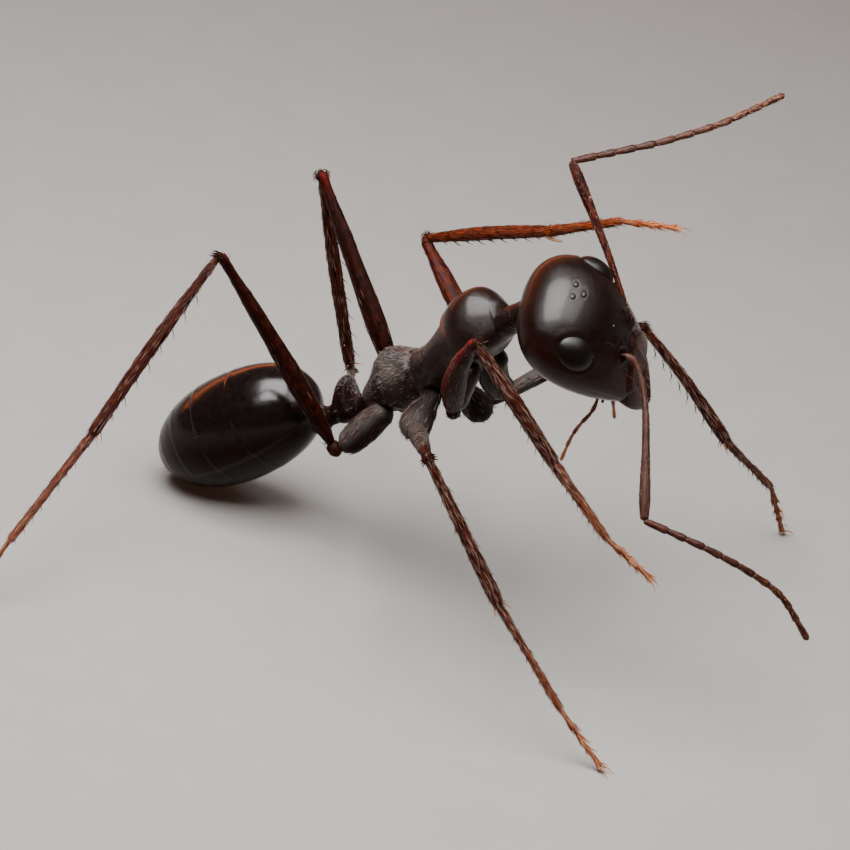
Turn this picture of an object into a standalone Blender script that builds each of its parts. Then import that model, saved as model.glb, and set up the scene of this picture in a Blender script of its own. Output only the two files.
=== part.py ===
# Long-legged desert ant, life size, rearing on its middle and hind legs.
# The ant faces -Y, its right side is towards -X, and its standing feet rest on z = 0.
# Shapes are worked out in millimetres and written in metres.

import math

import bmesh
import bpy
from mathutils import Matrix, Vector

for old in list(bpy.data.objects):
    bpy.data.objects.remove(old, do_unlink=True)

MM = 0.001
GAP = 0.08                 # clear space between neighbouring pieces
LIMB_RADIUS = 0.25
LIMB_SIDES = 10
NECK_SIDES = 12
PALP_SIDES = 8
MANDIBLE_SIDES = 14
PETIOLE_SIDES = 16
EYE_SIDES = 16
TRUNK_SIDES = 20
HEAD_SIDES = 28
GASTER_SIDES = 26

# Where the neck joint stands over the middle of the model's footprint.
NECK_JOINT = Vector((0.475, -0.609, 6.23))

# Trunk attitude: the front is raised and the right side leans down.
TRUNK_PITCH = 48.0
TRUNK_ROLL = 9.5
TRUNK_LENGTH = 4.5
PRONOTUM_FRONT = 0.47
PRONOTUM_END = 1.42
MESOTHORAX_END = 2.85
TRUNK_END_RADIUS = 0.3
# Section sizes along the trunk: a base and swellings of (height, place, spread).
TRUNK_TOP = (0.38, ((0.5, 0.98, 0.9), (0.33, 3.5, 0.44)))
TRUNK_BOTTOM = (0.26, ((0.38, 2.1, 1.15), (0.16, 3.6, 0.6)))
TRUNK_WIDTH = (0.28, ((0.47, 1.1, 0.62), (0.27, 2.2, 0.6), (0.28, 3.5, 0.62)))
NECK_COLLAR = (0.56, 0.28)    # the front's first share of full size, and its run
REAR_COLLAR = (0.62, 0.55)

# Head attitude: turned to the ant's left, hanging down and tilted to its right.
HEAD_YAW = 55.0
HEAD_PITCH = -34.0
HEAD_ROLL = 33.0
HEAD_HALF_LENGTH = 1.34
HEAD_HALF_WIDTH = 1.25
HEAD_TOP = 0.9
HEAD_BOTTOM = 0.85
HEAD_WIDEST = -0.2         # share of the half length, behind the middle
HEAD_FRONT = 0.93          # share of the half length where the mouth plane cuts
HEAD_BACK = 0.995
# Fullness of the rounded back, then (loss at the mouth, power) for width, top and bottom.
HEAD_FULLNESS = (2.5, 2.3, 1.9)
HEAD_TAPER = ((0.42, 1.7), (0.66, 1.45), (0.46, 2.3))
NECK_ON_HEAD = (-0.02, -0.94, -0.66)
EYE_PLACE = (-0.26, 35.0)  # share of the half length, degrees above the side
EYE_LENGTH = 0.76
EYE_WIDTH = 0.66
EYE_HEIGHT = 0.15
EYE_CLEARANCE = 0.05
EYE_THICKNESS = 0.05
EYE_RINGS = (0.3, 0.58, 0.8, 0.94, 1.0)
SOCKET = (0.4, 0.57, 0.74)   # outward, forward and up in the head's frame
SCAPE_ROOT = (0.42, 63.0)  # share of the half length, degrees above the side
SCAPE_RISE = 0.22
SCAPE_RADII = (0.2, 0.22, LIMB_RADIUS, LIMB_RADIUS, LIMB_RADIUS)
MANDIBLE_LENGTH = 0.74
MANDIBLE_INNER = 0.05
MANDIBLE_OUTER = (0.72, 0.28)  # outer edge at the root, and what it loses at the tip
MANDIBLE_THICK = (0.34, 0.12)
MANDIBLE_DROP = (0.1, 0.32)
PALP_RADII = (0.24, 0.24, 0.24, 0.2)
NECK_RADII = (0.33, 0.29, 0.25)
NECK_RUN = 0.14

# Petiole and gaster.
PETIOLE_AZIMUTH = 113.0
PETIOLE_DROP = 38.0
PETIOLE_LENGTH = 1.13
PETIOLE_STALK = 0.26
PETIOLE_NODE = (0.42, 0.21)      # place and spread, as shares of the length
PETIOLE_SWELL = (0.16, 0.35, 0.02)   # node beyond the stalk: half width, top, bottom
PETIOLE_LEAN = 0.55
GASTER_AZIMUTH = 118.0
GASTER_DROP = 41.0
GASTER_HALF_LENGTH = 1.72
GASTER_HALF_WIDTH = 1.02
GASTER_HALF_HEIGHT = 1.04
GASTER_JOINT = (-0.92, -80.0)
GASTER_CUTS = (-1.0, -0.2, 0.26, 0.6, 1.0)

COXA_RISE = 0.2
COXA_RADII = (0.26, 0.3, 0.3, LIMB_RADIUS)
FEMUR_RADII = (LIMB_RADIUS, 0.27, 0.28, 0.27, LIMB_RADIUS, LIMB_RADIUS, LIMB_RADIUS)
TIBIA_RADII = (LIMB_RADIUS, LIMB_RADIUS, LIMB_RADIUS, 0.26, LIMB_RADIUS)
BASITARSUS_RADII = (LIMB_RADIUS, LIMB_RADIUS, LIMB_RADIUS)
FOOT_RADII = (LIMB_RADIUS, LIMB_RADIUS, 0.24, 0.21)
SHARP_BEND = 0.6           # cosine of the turn beyond which a joint's corner is trimmed
CORNER_REACH = 0.28        # how far a trimmed corner stands out from its joint
FOOT_AXIS_HEIGHT = 0.05    # the standing feet's centre line above the floor

# Every limb is a chain: (azimuth, elevation, length) of each part after the hip.
# "hip" is (share along the trunk, degrees below the side) on the trunk's skin,
# "tip" is the coxa's far end as (outward, behind the neck joint, below the trunk axis).
LEGS = {
    "front_right": {
        "side": 1, "hip": (0.29, 62.0), "tip": (0.6, 2.25, 0.95), "stands": False,
        "femur": (-136.8, 52.2, 3.21), "tibia": (-62, -46, 2.7),
        "basitarsus": (-75, -38, 1.6), "foot": (-60, -31, 1.2),
    },
    "front_left": {
        "side": -1, "hip": (0.29, 62.0), "tip": (0.92, 2.33, 1.2), "stands": False,
        "femur": (83, 31.5, 3.4), "tibia": (-77, 26, 2.7),
        "basitarsus": (-77.5, 29.7, 1.6), "foot": (-65, 11, 1.2),
    },
    "mid_right": {
        "side": 1, "hip": (0.58, 56.0), "tip": (0.87, 2.97, 0.77), "stands": True,
        "femur": (-135, 19, 3.45), "tibia": (-78, -48, 2.97),
        "basitarsus": (-74, -44, 2.15), "foot": (-78, -38, 1.4),
    },
    "mid_left": {
        "side": -1, "hip": (0.58, 56.0), "tip": (0.76, 2.98, 1.12), "stands": True,
        "femur": (-20, 25, 3.45), "tibia": (-44, -47, 2.97),
        "basitarsus": (0, -41, 2.15), "foot": (2, -40, 1.4),
    },
    "hind_right": {
        "side": 1, "hip": (0.86, 48.0), "tip": (0.93, 5.05, 0.48), "stands": True,
        "femur": (129, 52, 4.5), "tibia": (180, -49, 4.05),
        "basitarsus": (-170, -33, 2.6), "foot": (-174, -40, 1.7),
    },
    "hind_left": {
        "side": -1, "hip": (0.86, 48.0), "tip": (0.78, 4.6, 0.34), "stands": True,
        "femur": (92, 50, 4.5), "tibia": (-48, -73, 4.05),
        "basitarsus": (38, -30, 2.6), "foot": (40, -32, 1.7),
    },
}

ANTENNAE = {
    "right": {"side": 1, "scape": (-115, -49, 3.1),
              "flagellum": ((-50, -15, 1.15), (-39, -24, 0.95), (-37, -31, 0.9), (-32, -54, 1.15))},
    "left": {"side": -1, "scape": (84, 41, 3.1),
             "flagellum": ((-31, 15, 1.7), (-31, 21, 1.15), (-19, 23, 1.3))},
}

# Palps: steps of (outward, forward, up) in the head's frame from the mouth's underside.
PALP_ROOT = (0.38, 1.05)
PALPS = {
    "right": (1, ((0.14, 0.32, -0.3), (0.2, 0.12, -0.72), (0.26, 0.3, -0.56))),
    "left": (-1, ((0.1, 0.42, -0.3), (0.1, 0.6, -0.66), (0.0, 0.6, -0.55))),
}

COLOURS = {
    "head": (0.012, 0.008, 0.008, 0.16),
    "eye": (0.02, 0.017, 0.018, 0.2),
    "mandible": (0.09, 0.016, 0.008, 0.3),
    "palp": (0.2, 0.07, 0.03, 0.45),
    "scape": (0.07, 0.018, 0.01, 0.38),
    "flagellum": (0.15, 0.06, 0.045, 0.5),
    "trunk": (0.018, 0.011, 0.01, 0.24),
    "propodeum": (0.06, 0.053, 0.052, 0.55),
    "gaster": (0.009, 0.006, 0.007, 0.14),
    "coxa": (0.07, 0.063, 0.062, 0.6),
    "femur": (0.045, 0.012, 0.009, 0.32),
    "tibia": (0.08, 0.025, 0.016, 0.4),
    "tarsus": (0.2, 0.06, 0.025, 0.48),
}


# ---- frames -------------------------------------------------------------------------

def direction(azimuth, elevation):
    a = math.radians(azimuth)
    e = math.radians(elevation)
    return Vector((math.cos(a) * math.cos(e), math.sin(a) * math.cos(e), math.sin(e)))


def attitude(yaw, pitch, roll):
    """Right, forward and up axes of a part that faces -Y, turned, raised and rolled."""
    forward = direction(-90.0 + yaw, pitch)
    right = forward.cross(Vector((0.0, 0.0, 1.0))).normalized()
    up = right.cross(forward)
    turn = Matrix.Rotation(math.radians(roll), 3, forward)
    return turn @ right, forward, turn @ up


TRUNK_AXES = attitude(0.0, TRUNK_PITCH, TRUNK_ROLL)
HEAD_AXES = attitude(HEAD_YAW, HEAD_PITCH, HEAD_ROLL)


def inFrame(origin, axes, right, forward, up):
    return origin + axes[0] * right + axes[1] * forward + axes[2] * up


HEAD_CENTRE = NECK_JOINT - (inFrame(Vector(), HEAD_AXES, *NECK_ON_HEAD))
TRUNK_REAR = inFrame(NECK_JOINT, TRUNK_AXES, 0.0, -TRUNK_LENGTH, 0.0)


# ---- surfaces -----------------------------------------------------------------------

def hump(x, centre, spread):
    return math.exp(-((x - centre) / spread) ** 2)


def roundedEnd(share, power):
    return max(0.0, 1.0 - abs(share) ** power) ** (1.0 / power)


def ovalPoint(angle, halfWidth, top, bottom, power):
    c = math.cos(angle)
    s = math.sin(angle)
    x = math.copysign(abs(c) ** (2.0 / power), c) * halfWidth
    z = math.copysign(abs(s) ** (2.0 / power), s) * (top if s > 0 else bottom)
    return x, z


def swelling(x, shape):
    base, humps = shape
    return base + sum(height * hump(x, place, spread) for height, place, spread in humps)


def collar(distance, shape):
    """Share of full size at this distance from an end that closes in."""
    first, run = shape
    return math.sin(0.5 * math.pi * min(1.0, first + (1.0 - first) * distance / run))


def trunkSection(behind):
    """Half width, height above and depth below the trunk's axis, this far behind the neck."""
    ends = collar(behind - PRONOTUM_FRONT, NECK_COLLAR) * collar(TRUNK_LENGTH - behind, REAR_COLLAR)
    return [swelling(behind, shape) * ends for shape in (TRUNK_WIDTH, TRUNK_TOP, TRUNK_BOTTOM)]


def trunkSurface(behind, angle):
    width, top, bottom = trunkSection(behind)
    x, z = ovalPoint(angle, width, top, bottom, 2.2)
    return inFrame(NECK_JOINT, TRUNK_AXES, x, -behind, z)


def headSection(share):
    """Half width, height and depth of the head at this share of its half length."""
    sizes = (HEAD_HALF_WIDTH, HEAD_TOP, HEAD_BOTTOM)
    if share < HEAD_WIDEST:
        back = (HEAD_WIDEST - share) / (1.0 + HEAD_WIDEST)
        return [size * roundedEnd(back, power) for size, power in zip(sizes, HEAD_FULLNESS)]
    ahead = (share - HEAD_WIDEST) / (1.0 - HEAD_WIDEST)
    return [size * (1.0 - loss * ahead ** power) for size, (loss, power) in zip(sizes, HEAD_TAPER)]


def headSurface(share, angle):
    width, top, bottom = headSection(share)
    x, z = ovalPoint(angle, width, top, bottom, 2.1)
    return inFrame(HEAD_CENTRE, HEAD_AXES, x, share * HEAD_HALF_LENGTH, z)


GASTER_AXIS = direction(GASTER_AZIMUTH, -GASTER_DROP)
GASTER_RIGHT = GASTER_AXIS.cross(Vector((0.0, 0.0, 1.0))).normalized() * -1.0
GASTER_UP = GASTER_RIGHT.cross(GASTER_AXIS * -1.0)


def gasterSection(share):
    size = roundedEnd(share, 2.5) if share < 0.0 else roundedEnd(share, 2.05)
    return GASTER_HALF_WIDTH * size, GASTER_HALF_HEIGHT * size


def gasterOffset(share, angle):
    width, height = gasterSection(share)
    x, z = ovalPoint(angle, width, height, height, 2.0)
    return GASTER_RIGHT * x + GASTER_AXIS * (share * GASTER_HALF_LENGTH) + GASTER_UP * z


PETIOLE_AXIS = direction(PETIOLE_AZIMUTH, -PETIOLE_DROP)
PETIOLE_REAR = TRUNK_REAR + PETIOLE_AXIS * PETIOLE_LENGTH
GASTER_CENTRE = PETIOLE_REAR - gasterOffset(GASTER_JOINT[0], math.radians(GASTER_JOINT[1]))


def gasterSurface(share, angle):
    return GASTER_CENTRE + gasterOffset(share, angle)


def outward(surface, u, angle, inside):
    """Unit normal of surface(u, angle) that points away from the point inside."""
    step = 0.002
    du = surface(u + step, angle) - surface(u - step, angle)
    da = surface(u, angle + step) - surface(u, angle - step)
    normal = du.cross(da).normalized()
    if normal.dot(surface(u, angle) - inside) < 0.0:
        normal.negate()
    return normal


# ---- mesh helpers -------------------------------------------------------------------

def material(name, colour):
    made = bpy.data.materials.new(name)
    made.use_nodes = True
    shader = made.node_tree.nodes["Principled BSDF"]
    shader.inputs["Base Color"].default_value = (colour[0], colour[1], colour[2], 1.0)
    shader.inputs["Roughness"].default_value = colour[3]
    shader.inputs["Metallic"].default_value = 0.0
    made.diffuse_color = (colour[0], colour[1], colour[2], 1.0)
    return made


def loft(rings):
    """A closed skin through rings of points, with a flat face over each end."""
    bm = bmesh.new()
    rows = []
    for ring in rings:
        rows.append([bm.verts.new(point) for point in ring])
    count = len(rows[0])
    for lower, upper in zip(rows, rows[1:]):
        for i in range(count):
            j = (i + 1) % count
            bm.faces.new((lower[i], lower[j], upper[j], upper[i]))
    bm.faces.new(rows[0][::-1])
    bm.faces.new(rows[-1])
    return bm


def finish(bm, name, colourName):
    bmesh.ops.recalc_face_normals(bm, faces=bm.faces)
    bmesh.ops.scale(bm, vec=(MM, MM, MM), verts=bm.verts)
    mesh = bpy.data.meshes.new(name)
    bm.to_mesh(mesh)
    bm.free()
    mesh.shade_smooth()
    mesh.set_sharp_from_angle(angle=math.radians(50.0))
    mesh.materials.append(material(name + "_material", COLOURS[colourName]))
    thing = bpy.data.objects.new(name, mesh)
    bpy.context.scene.collection.objects.link(thing)
    return thing


def bisector(before, after):
    return (before + after).normalized()


def between(a, b, share):
    return a + (b - a) * share


def planeRing(centre, along, normal, radius, sides, start):
    """A round tube's section along one direction, where it meets a slanted plane."""
    first = start - along * start.dot(along)
    first.normalize()
    second = along.cross(first)
    ring = []
    for i in range(sides):
        angle = 2.0 * math.pi * i / sides
        offset = (first * math.cos(angle) + second * math.sin(angle)) * radius
        slide = -offset.dot(normal) / along.dot(normal)
        ring.append(centre + offset + along * slide)
    return ring


def tube(path, radii, startNormal, endNormal, sides):
    """A tube along a bent path, cut at each end by a plane and mitred at each bend."""
    start = Vector((0.0, 0.0, 1.0))
    if abs((path[-1] - path[0]).normalized().z) > 0.9:
        start = Vector((1.0, 0.0, 0.0))
    steps = [(b - a).normalized() for a, b in zip(path, path[1:])]
    rings = []
    for i, point in enumerate(path):
        if i == 0:
            along = steps[0]
            normal = startNormal
        elif i == len(path) - 1:
            along = steps[-1]
            normal = endNormal
        else:
            along = steps[i - 1]
            normal = (steps[i - 1] + steps[i]).normalized()
        rings.append(planeRing(point, along, normal, radii[i], sides, start))
    return loft(rings)


# ---- trunk, petiole and gaster ------------------------------------------------------

def trunkRing(behind):
    ring = []
    for i in range(TRUNK_SIDES):
        ring.append(trunkSurface(behind, 2.0 * math.pi * (i + 0.5) / TRUNK_SIDES))
    return ring


def addTrunkPart(name, start, end, steps, colourName):
    rings = []
    for i in range(steps + 1):
        rings.append(trunkRing(start + (end - start) * i / steps))
    return finish(loft(rings), name, colourName)


def addPropodeum():
    rings = []
    start = MESOTHORAX_END + GAP / 2
    end = TRUNK_LENGTH - 0.22
    for i in range(6):
        rings.append(trunkRing(start + (end - start) * i / 5))
    rearward = TRUNK_AXES[1] * -1.0
    normal = bisector(rearward, PETIOLE_AXIS)
    centre = TRUNK_REAR - normal * (GAP / 2)
    flat = []
    for i in range(TRUNK_SIDES):
        angle = 2.0 * math.pi * (i + 0.5) / TRUNK_SIDES
        offset = (TRUNK_AXES[0] * math.cos(angle) + TRUNK_AXES[2] * math.sin(angle)) * TRUNK_END_RADIUS
        slide = -offset.dot(normal) / rearward.dot(normal)
        flat.append(centre + offset + rearward * slide)
    rings.append(flat)
    return finish(loft(rings), "propodeum", "propodeum")


def addPetiole():
    """A stalk with an upright rounded node that leans towards the trunk."""
    startNormal = bisector(TRUNK_AXES[1] * -1.0, PETIOLE_AXIS)
    angle = math.radians(GASTER_JOINT[1])
    endNormal = outward(gasterSurface, GASTER_JOINT[0], angle, GASTER_CENTRE) * -1.0
    right = PETIOLE_AXIS.cross(TRUNK_AXES[2]).normalized() * -1.0
    up = right.cross(PETIOLE_AXIS * -1.0)
    first = TRUNK_REAR + startNormal * (GAP / 2)
    last = PETIOLE_REAR - endNormal * GAP
    rings = []
    steps = 8
    for k in range(steps + 1):
        share = k / steps
        node = hump(share, *PETIOLE_NODE)
        width, top, bottom = [PETIOLE_STALK + swell * node for swell in PETIOLE_SWELL]
        centre = between(first, last, share)
        ring = []
        for i in range(PETIOLE_SIDES):
            x, z = ovalPoint(2.0 * math.pi * i / PETIOLE_SIDES, width, top, bottom, 2.1)
            offset = right * x + up * z
            raised = max(0.0, z - PETIOLE_STALK)
            slide = -PETIOLE_LEAN * raised * (1.0 - abs(2.0 * share - 1.0))
            if share == 0.0:
                slide = -offset.dot(startNormal) / PETIOLE_AXIS.dot(startNormal)
            if share == 1.0:
                slide = -offset.dot(endNormal) / PETIOLE_AXIS.dot(endNormal)
            ring.append(centre + offset + PETIOLE_AXIS * slide)
        rings.append(ring)
    return finish(loft(rings), "petiole", "propodeum")


def addGaster():
    """Four overlapping plates' outline as four solids from front to tip."""
    names = ("gaster_first", "gaster_second", "gaster_third", "gaster_tip")
    half = GAP / 2 / GASTER_HALF_LENGTH
    for k, name in enumerate(names):
        start = GASTER_CUTS[k] + (half if k > 0 else 0.004)
        end = GASTER_CUTS[k + 1] - (half if k < 3 else 0.004)
        steps = (9, 4, 4, 7)[k]
        rings = []
        for i in range(steps + 1):
            part = i / steps
            if k == 0:
                part = 1.0 - math.cos(0.5 * math.pi * part)
            if k == 3:
                part = math.sin(0.5 * math.pi * part)
            share = start + (end - start) * part
            ring = []
            for j in range(GASTER_SIDES):
                ring.append(gasterSurface(share, 2.0 * math.pi * j / GASTER_SIDES))
            rings.append(ring)
        finish(loft(rings), name, "gaster")


# ---- head ---------------------------------------------------------------------------

def addHead():
    rings = []
    steps = 18
    for i in range(steps + 1):
        part = i / steps
        share = -HEAD_BACK + (HEAD_FRONT + HEAD_BACK) * (1.0 - math.cos(0.5 * math.pi * part ** 1.1))
        ring = []
        for j in range(HEAD_SIDES):
            ring.append(headSurface(share, 2.0 * math.pi * j / HEAD_SIDES))
        rings.append(ring)
    return finish(loft(rings), "head", "head")


def addEye(name, side):
    """A low dome that follows the head's side, with its long axis along the head."""
    share, degrees = EYE_PLACE
    middle = math.radians(degrees if side > 0 else 180.0 - degrees)
    width, top, bottom = headSection(share)
    radiusHere = 0.5 * (width + top)
    count = EYE_SIDES

    def spot(reach, turn, height):
        u = share + 0.5 * EYE_LENGTH / HEAD_HALF_LENGTH * reach * math.cos(turn)
        a = middle + 0.5 * EYE_WIDTH / radiusHere * reach * math.sin(turn)
        return headSurface(u, a) + outward(headSurface, u, a, HEAD_CENTRE) * height

    bm = bmesh.new()
    rows = []
    for reach in EYE_RINGS:
        lift = EYE_CLEARANCE + EYE_THICKNESS + EYE_HEIGHT * math.sqrt(max(0.0, 1.0 - reach ** 2))
        rows.append([bm.verts.new(spot(reach, 2.0 * math.pi * i / count, lift)) for i in range(count)])
    for reach in (1.0, 0.5):
        rows.append([bm.verts.new(spot(reach, 2.0 * math.pi * i / count, EYE_CLEARANCE))
                     for i in range(count)])
    for lower, upper in zip(rows, rows[1:]):
        for i in range(count):
            j = (i + 1) % count
            bm.faces.new((lower[i], lower[j], upper[j], upper[i]))
    crown = bm.verts.new(spot(0.0, 0.0, EYE_CLEARANCE + EYE_THICKNESS + EYE_HEIGHT))
    floor = bm.verts.new(spot(0.0, 0.0, EYE_CLEARANCE))
    for i in range(count):
        j = (i + 1) % count
        bm.faces.new((crown, rows[0][j], rows[0][i]))
        bm.faces.new((floor, rows[-1][i], rows[-1][j]))
    return finish(bm, name, "eye")


def addMandible(name, side):
    """A curved blade closed against its fellow under the front of the head."""
    root = HEAD_FRONT * HEAD_HALF_LENGTH + GAP
    rings = []
    for i in range(6):
        part = i / 5
        outer = MANDIBLE_OUTER[0] - MANDIBLE_OUTER[1] * part ** 1.6
        centre = side * (MANDIBLE_INNER + outer) / 2
        width = (outer - MANDIBLE_INNER) / 2
        thick = MANDIBLE_THICK[0] - MANDIBLE_THICK[1] * part
        forward = root + MANDIBLE_LENGTH * part
        height = -MANDIBLE_DROP[0] - MANDIBLE_DROP[1] * part ** 1.4
        ring = []
        for j in range(MANDIBLE_SIDES):
            x, z = ovalPoint(2.0 * math.pi * j / MANDIBLE_SIDES, width, thick, thick, 2.4)
            slant = 0.2 * part * (0.3 - abs(centre + x))
            ring.append(inFrame(HEAD_CENTRE, HEAD_AXES, centre + x, forward + slant, height + z))
        rings.append(ring)
    return finish(loft(rings), name, "mandible")


def addNeck():
    front = inFrame(NECK_JOINT, TRUNK_AXES, 0.0, -PRONOTUM_FRONT + GAP, 0.0)
    share = NECK_ON_HEAD[1] / HEAD_HALF_LENGTH
    angle = math.radians(-90.0)
    out = outward(headSurface, share, angle, HEAD_CENTRE)
    end = headSurface(share, angle) + out * GAP
    path = [front, end + out * NECK_RUN, end]
    bm = tube(path, NECK_RADII, TRUNK_AXES[1], out * -1.0, NECK_SIDES)
    return finish(bm, "neck", "trunk")


def addAntenna(name, data):
    side = data["side"]
    share, degrees = SCAPE_ROOT
    angle = math.radians(degrees if side > 0 else 180.0 - degrees)
    out = outward(headSurface, share, angle, HEAD_CENTRE)
    root = headSurface(share, angle) + out * GAP
    scapeWay = direction(*data["scape"][:2])
    bend = root + out * SCAPE_RISE
    socket = inFrame(HEAD_CENTRE, HEAD_AXES, side * SOCKET[0], SOCKET[1], SOCKET[2])
    elbow = socket + scapeWay * data["scape"][2]
    scapeEnd = (elbow - bend).normalized()
    path = [elbow]
    for azimuth, elevation, length in data["flagellum"]:
        path.append(path[-1] + direction(azimuth, elevation) * length)
    firstWay = (path[1] - path[0]).normalized()
    mitre = bisector(scapeEnd, firstWay)
    stop = elbow - mitre * (GAP / 2)
    middle = between(bend, stop, 0.5)
    shaft = [root, bend, between(bend, middle, 0.3), middle, stop]
    bm = tube(shaft, SCAPE_RADII, out, mitre, LIMB_SIDES)
    finish(bm, "scape_" + name, "scape")
    path[0] = elbow + mitre * (GAP / 2)
    radii = [LIMB_RADIUS] * (len(path) - 1) + [LIMB_RADIUS * 0.9]
    lastWay = (path[-1] - path[-2]).normalized()
    bm = tube(path, radii, mitre, lastWay, LIMB_SIDES)
    finish(bm, "flagellum_" + name, "flagellum")


def addPalp(name, side, steps):
    share = PALP_ROOT[1] / HEAD_HALF_LENGTH
    width, top, bottom = headSection(share)
    angle = -math.acos(side * PALP_ROOT[0] / width)
    out = outward(headSurface, share, angle, HEAD_CENTRE)
    path = [headSurface(share, angle) + out * GAP]
    for right, forward, up in steps:
        path.append(inFrame(path[-1], HEAD_AXES, side * right, forward, up))
    lastWay = (path[-1] - path[-2]).normalized()
    bm = tube(path, PALP_RADII, out, lastWay, PALP_SIDES)
    finish(bm, "palp_" + name, "palp")


# ---- legs ---------------------------------------------------------------------------

def footDrop(start, length, azimuth):
    """Direction of a standing foot that ends with its centre line just over the floor."""
    elevation = -math.degrees(math.asin((start.z - FOOT_AXIS_HEIGHT) / length))
    return direction(azimuth, elevation)


def legJoints(data):
    side = data["side"]
    outwardTip, behind, below = data["tip"]
    joints = [inFrame(NECK_JOINT, TRUNK_AXES, side * outwardTip, -behind, -below)]
    for part in ("femur", "tibia", "basitarsus"):
        azimuth, elevation, length = data[part]
        joints.append(joints[-1] + direction(azimuth, elevation) * length)
    azimuth, elevation, length = data["foot"]
    way = direction(azimuth, elevation)
    if data["stands"]:
        way = footDrop(joints[-1], length, azimuth)
    joints.append(joints[-1] + way * length)
    return joints


def mitredPiece(before, start, end, after, radii):
    way = (end - start).normalized()
    startNormal = bisector(before, way) if before else way
    endNormal = bisector(way, after) if after else way
    first = start + startNormal * (GAP / 2 if before else 0.0)
    last = end - endNormal * (GAP / 2 if after else 0.0)
    count = len(radii)
    path = [between(first, last, i / (count - 1)) for i in range(count)]
    bm = tube(path, radii, startNormal, endNormal, LIMB_SIDES)
    if before and before.dot(way) < SHARP_BEND:
        trimCorner(bm, start, before, way)
    if after and way.dot(after) < SHARP_BEND:
        trimCorner(bm, end, way, after)
    return bm


def addLeg(name, data):
    side = data["side"]
    share, below = data["hip"]
    behind = share * TRUNK_LENGTH
    angle = math.radians(-below if side > 0 else 180.0 + below)
    axisPoint = inFrame(NECK_JOINT, TRUNK_AXES, 0.0, -behind, 0.0)
    out = outward(trunkSurface, behind, angle, axisPoint)
    root = trunkSurface(behind, angle) + out * GAP
    joints = legJoints(data)
    ways = [(b - a).normalized() for a, b in zip(joints, joints[1:])]

    bend = root + out * COXA_RISE
    coxaWay = (joints[0] - bend).normalized()
    mitre = bisector(coxaWay, ways[0])
    stop = joints[0] - mitre * (GAP / 2)
    path = [root, bend, between(bend, stop, 0.5), stop]
    bm = tube(path, COXA_RADII, out, mitre, LIMB_SIDES)
    if coxaWay.dot(ways[0]) < SHARP_BEND:
        trimCorner(bm, joints[0], coxaWay, ways[0])
    finish(bm, "coxa_" + name, "coxa")

    bm = mitredPiece(coxaWay, joints[0], joints[1], ways[1], FEMUR_RADII)
    finish(bm, "femur_" + name, "femur")
    bm = mitredPiece(ways[0], joints[1], joints[2], ways[2], TIBIA_RADII)
    finish(bm, "tibia_" + name, "tibia")
    bm = mitredPiece(ways[1], joints[2], joints[3], ways[3], BASITARSUS_RADII)
    finish(bm, "basitarsus_" + name, "tarsus")
    bm = mitredPiece(ways[2], joints[3], joints[4], None, FOOT_RADII)
    if data["stands"]:
        cutFlat(bm)
    finish(bm, "foot_" + name, "tarsus")


def trimCorner(bm, joint, before, after):
    """Take off the sharp outer corner of a tightly bent joint."""
    side = (before - after).normalized()
    cutOff(bm, joint + side * CORNER_REACH, side)


def cutOff(bm, point, normal):
    everything = list(bm.verts) + list(bm.edges) + list(bm.faces)
    result = bmesh.ops.bisect_plane(bm, geom=everything, dist=1e-6, plane_co=point,
                                    plane_no=normal, clear_outer=True)
    rim = [item for item in result["geom_cut"] if isinstance(item, bmesh.types.BMEdge)]
    if rim:
        bmesh.ops.edgenet_fill(bm, edges=rim)


def cutFlat(bm):
    """Cut the foot off level with the floor, which leaves a small flat sole."""
    cutOff(bm, Vector((0.0, 0.0, 0.0)), Vector((0.0, 0.0, -1.0)))


# ---- the model ----------------------------------------------------------------------

addHead()
addEye("eye_right", 1)
addEye("eye_left", -1)
addMandible("mandible_right", 1)
addMandible("mandible_left", -1)
for palpName, (palpSide, palpSteps) in PALPS.items():
    addPalp(palpName, palpSide, palpSteps)
for antennaName, antenna in ANTENNAE.items():
    addAntenna(antennaName, antenna)
addNeck()
addTrunkPart("pronotum", PRONOTUM_FRONT, PRONOTUM_END - GAP / 2, 7, "trunk")
addTrunkPart("mesothorax", PRONOTUM_END + GAP / 2, MESOTHORAX_END - GAP / 2, 6, "trunk")
addPropodeum()
addPetiole()
addGaster()
for legName, leg in LEGS.items():
    addLeg(legName, leg)
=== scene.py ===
import math

import bmesh
import bpy
from mathutils import Matrix, Vector


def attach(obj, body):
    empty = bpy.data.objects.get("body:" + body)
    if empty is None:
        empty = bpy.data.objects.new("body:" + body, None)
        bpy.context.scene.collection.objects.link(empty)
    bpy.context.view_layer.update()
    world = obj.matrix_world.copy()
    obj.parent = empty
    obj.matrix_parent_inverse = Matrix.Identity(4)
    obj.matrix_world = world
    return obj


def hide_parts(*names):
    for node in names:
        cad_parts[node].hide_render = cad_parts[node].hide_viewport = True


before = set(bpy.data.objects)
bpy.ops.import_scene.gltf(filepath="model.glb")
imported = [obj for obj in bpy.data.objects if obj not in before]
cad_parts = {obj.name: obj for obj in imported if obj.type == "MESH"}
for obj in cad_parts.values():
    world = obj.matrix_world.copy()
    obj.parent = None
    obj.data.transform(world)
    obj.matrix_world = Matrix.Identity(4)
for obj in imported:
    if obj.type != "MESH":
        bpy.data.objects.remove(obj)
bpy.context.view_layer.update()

# Shapes are worked out in millimetres and brought to metres when a piece is finished.
mm = 0.001
body = "root"
fullTurn = 2.0 * math.pi
skyward = Vector((0.0, 0.0, 1.0))

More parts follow.
